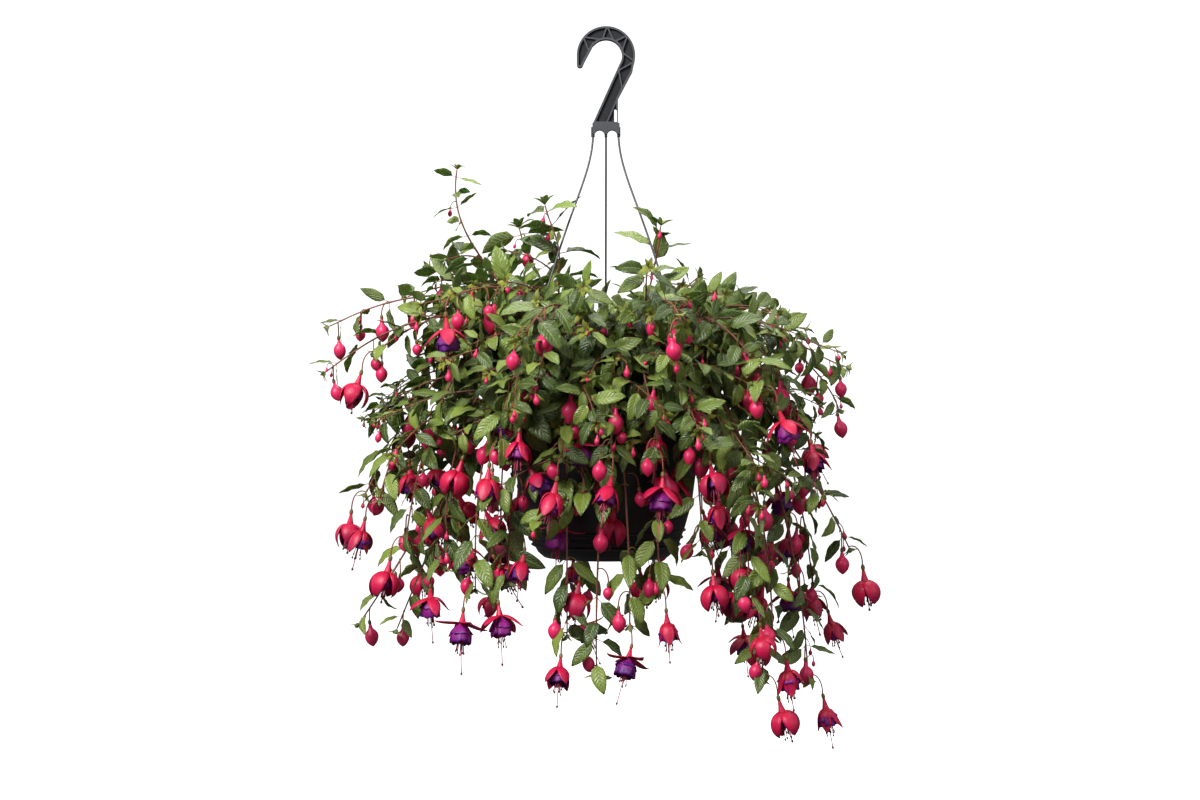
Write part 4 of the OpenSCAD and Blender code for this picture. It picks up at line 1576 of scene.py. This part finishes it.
@dataclass
class Pot:
    """The basket and the potting mix in it."""

    node: str = "growing_medium"
    chips: int = 130
    beads: int = 60
    rings: int = 34
    sides: int = 96
    dip: float = 0.002
    dome: float = 0.006

    def mix(self) -> Part:
        """The body of potting mix, with a crumbly top.

        Returns:
            The body, closed all round.
        """
        lo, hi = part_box(self.node)
        rng = np.random.default_rng(7)
        r, top, low = hi[0], hi[2] - self.dip, lo[2]
        crown = [(r * (0.93 - 0.925 * (k / self.rings)), top - self.dome * (1 - k / self.rings) ** 2)
                 for k in range(self.rings + 1)]
        wall = [(0.66 * r, low), (0.72 * r, low + 0.012), (0.79 * r, low + 0.034), (0.86 * r, low + 0.066),
                (0.94 * r, top - 0.012)]
        body = turned([(0.01, low)] + wall + crown, self.sides, 0)
        turn = np.arctan2(body.points[:, 1], body.points[:, 0])
        reach = np.hypot(body.points[:, 0], body.points[:, 1])
        waves = 0.0012 * np.sin(7 * turn + 90 * reach) * np.sin(140 * reach)
        lump = waves + 0.0009 * rng.normal(0, 1, len(turn))
        body.points[:, 2] += np.where(body.points[:, 2] > top - 0.0075, lump, 0)
        body.marks[:, 2] = rng.uniform(0.2, 0.8, len(turn))
        return body

    def crumbs(self, count: int, size: tuple[float, float], flat: float, slot: int,
               seed: int) -> list[Part]:
        """Small loose pieces on top of the mix.

        Args:
            count: How many there are.
            size: Their least and greatest radius.
            flat: Their height as a part of their width.
            slot: Their finish.
            seed: The seed of their places.

        Returns:
            The pieces.
        """
        lo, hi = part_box(self.node)
        rng = np.random.default_rng(seed)
        made = []
        for _ in range(count):
            shape = turned(CRUMB, 7, slot)
            shape.points *= rng.uniform(0.75, 1.2, shape.points.shape) * np.array((1.0, 0.7, flat))
            reach = 0.9 * hi[0] * math.sqrt(rng.uniform(0.02, 1))
            place = polar(rng.uniform(0, 360), reach, hi[2] - 0.0015 - self.dome * (reach / hi[0]) ** 2)
            tilt = UP + rng.normal(0, 0.25, 3)
            made.append(shape.placed(place, polar(rng.uniform(0, 360), 1, 0), tilt, rng.uniform(*size),
                                     rng.uniform(0, 1)))
        return made

    def build(self) -> None:
        """Builds the mix and dresses the basket."""
        chips = self.crumbs(self.chips, (0.003, 0.007), 0.35, 1, 8)
        beads = self.crumbs(self.beads, (0.001, 0.002), 0.9, 2, 9)
        parts = [self.mix()] + chips + beads
        make_piece("potting_mix", parts, [PEAT, CROWN_BARK, PERLITE], self.node)
        dress("basket", BASKET_PLASTIC)


# ---------------------------------------------------------------- studio

@dataclass
class Studio:
    """The pale floor, the soft light and the camera."""

    disc_r: float = 14.0
    disc_sides: int = 64
    floor_gap: float = 0.25
    cloth_gap: float = 0.01
    sight: float = 2.2
    width_seen: float = 1.5
    sensor: float = 36.0
    aim_x: float = -0.0075
    aim_z: float = -0.43
    sky: float = 0.26
    backdrop_r: float = 16.0

    def keep(self, name: str, mesh: bpy.types.Mesh, finish: Paper, seen: bool, lights: bool) -> None:
        """Stands one studio object in place.

        Args:
            name: Its name.
            mesh: Its mesh.
            finish: Its finish.
            seen: Whether the camera sees it.
            lights: Whether the plant's own surfaces see it, so that it lights or darkens them.
        """
        mesh.materials.append(material_of(finish))
        kept = bpy.data.objects.new(name, mesh)
        kept.visible_camera = seen
        kept.visible_diffuse = lights
        kept.visible_glossy = lights
        kept.visible_transmission = lights
        kept.visible_shadow = lights
        bpy.context.scene.collection.objects.link(kept)

    def disc(self, name: str, height: float) -> bpy.types.Mesh:
        """A level disc's mesh.

        Args:
            name: The mesh's name.
            height: How high the disc lies.

        Returns:
            The mesh.
        """
        mesh = bpy.data.meshes.new(name)
        turns = np.linspace(0, 2 * math.pi, self.disc_sides, endpoint=False)
        ring = [(self.disc_r * math.cos(a), self.disc_r * math.sin(a), height) for a in turns]
        mesh.from_pydata(ring, [], [tuple(range(self.disc_sides))])
        return mesh

    def shell(self, name: str) -> bpy.types.Mesh:
        """The mesh of a round shell that closes the studio.

        Args:
            name: The mesh's name.

        Returns:
            The mesh.
        """
        mesh = bpy.data.meshes.new(name)
        work = bmesh.new()
        bmesh.ops.create_uvsphere(work, u_segments=48, v_segments=24, radius=self.backdrop_r)
        work.to_mesh(mesh)
        work.free()
        return mesh

    def backdrop(self) -> None:
        """Lays a white floor in a white shell, over a dark cloth that stops light from below."""
        low = CAD_BOUNDS[0][2] - self.floor_gap
        self.keep("studio_floor", self.disc("studio_floor", low), FLOOR_PAPER, True, False)
        self.keep("studio_cloth", self.disc("studio_cloth", low - self.cloth_gap), DARK_CLOTH, False, True)
        self.keep("studio_backdrop", self.shell("studio_backdrop"), BACKDROP_PAPER, True, False)

    def lamp(self, name: str, place: tuple[float, float, float], size: float, power: float) -> None:
        """Hangs one soft square lamp that faces the plant.

        Args:
            name: Its name.
            place: Where it hangs.
            size: The length of its sides.
            power: Its power in watts.
        """
        data = bpy.data.lights.new(name, "AREA")
        data.shape = "SQUARE"
        data.size = size
        data.energy = power
        lamp = bpy.data.objects.new(name, data)
        lamp.location = place
        aim = Vector((self.aim_x, 0, self.aim_z)) - Vector(place)
        lamp.rotation_euler = aim.to_track_quat("-Z", "Y").to_euler()
        bpy.context.scene.collection.objects.link(lamp)

    def world(self) -> None:
        """Fills the room with even white light."""
        world = bpy.data.worlds.new("studio_world")
        world.use_nodes = True
        world.node_tree.nodes["Background"].inputs["Color"].default_value = (1, 1, 1, 1)
        world.node_tree.nodes["Background"].inputs["Strength"].default_value = self.sky
        bpy.context.scene.world = world
        bpy.context.scene.view_settings.view_transform = "Standard"

    def camera(self) -> None:
        """Sets the camera level with the middle of the plant, straight in front of it."""
        data = bpy.data.cameras.new("camera")
        data.sensor_width = self.sensor
        data.lens = self.sensor * self.sight / self.width_seen
        camera = bpy.data.objects.new("camera", data)
        camera.location = (self.aim_x, -self.sight, self.aim_z)
        camera.rotation_euler = (math.pi / 2, 0, 0)
        bpy.context.scene.collection.objects.link(camera)
        bpy.context.scene.camera = camera

    def build(self) -> None:
        """Builds the studio."""
        self.camera()
        self.world()
        self.lamp("key", (-1.3, -1.8, 1.3), 1.3, 130)
        self.lamp("fill", (2.0, -1.6, 0.3), 1.8, 14)
        self.lamp("top", (0.3, 0.7, 1.7), 1.6, 40)
        self.backdrop()


def main() -> None:
    """Builds everything in order."""
    logging.basicConfig(level=logging.INFO, format="%(message)s")
    Studio().build()
    Hanger().build()
    Pot().build()
    Plant(BRANCHES).build()


if __name__ == "__main__":
    main()
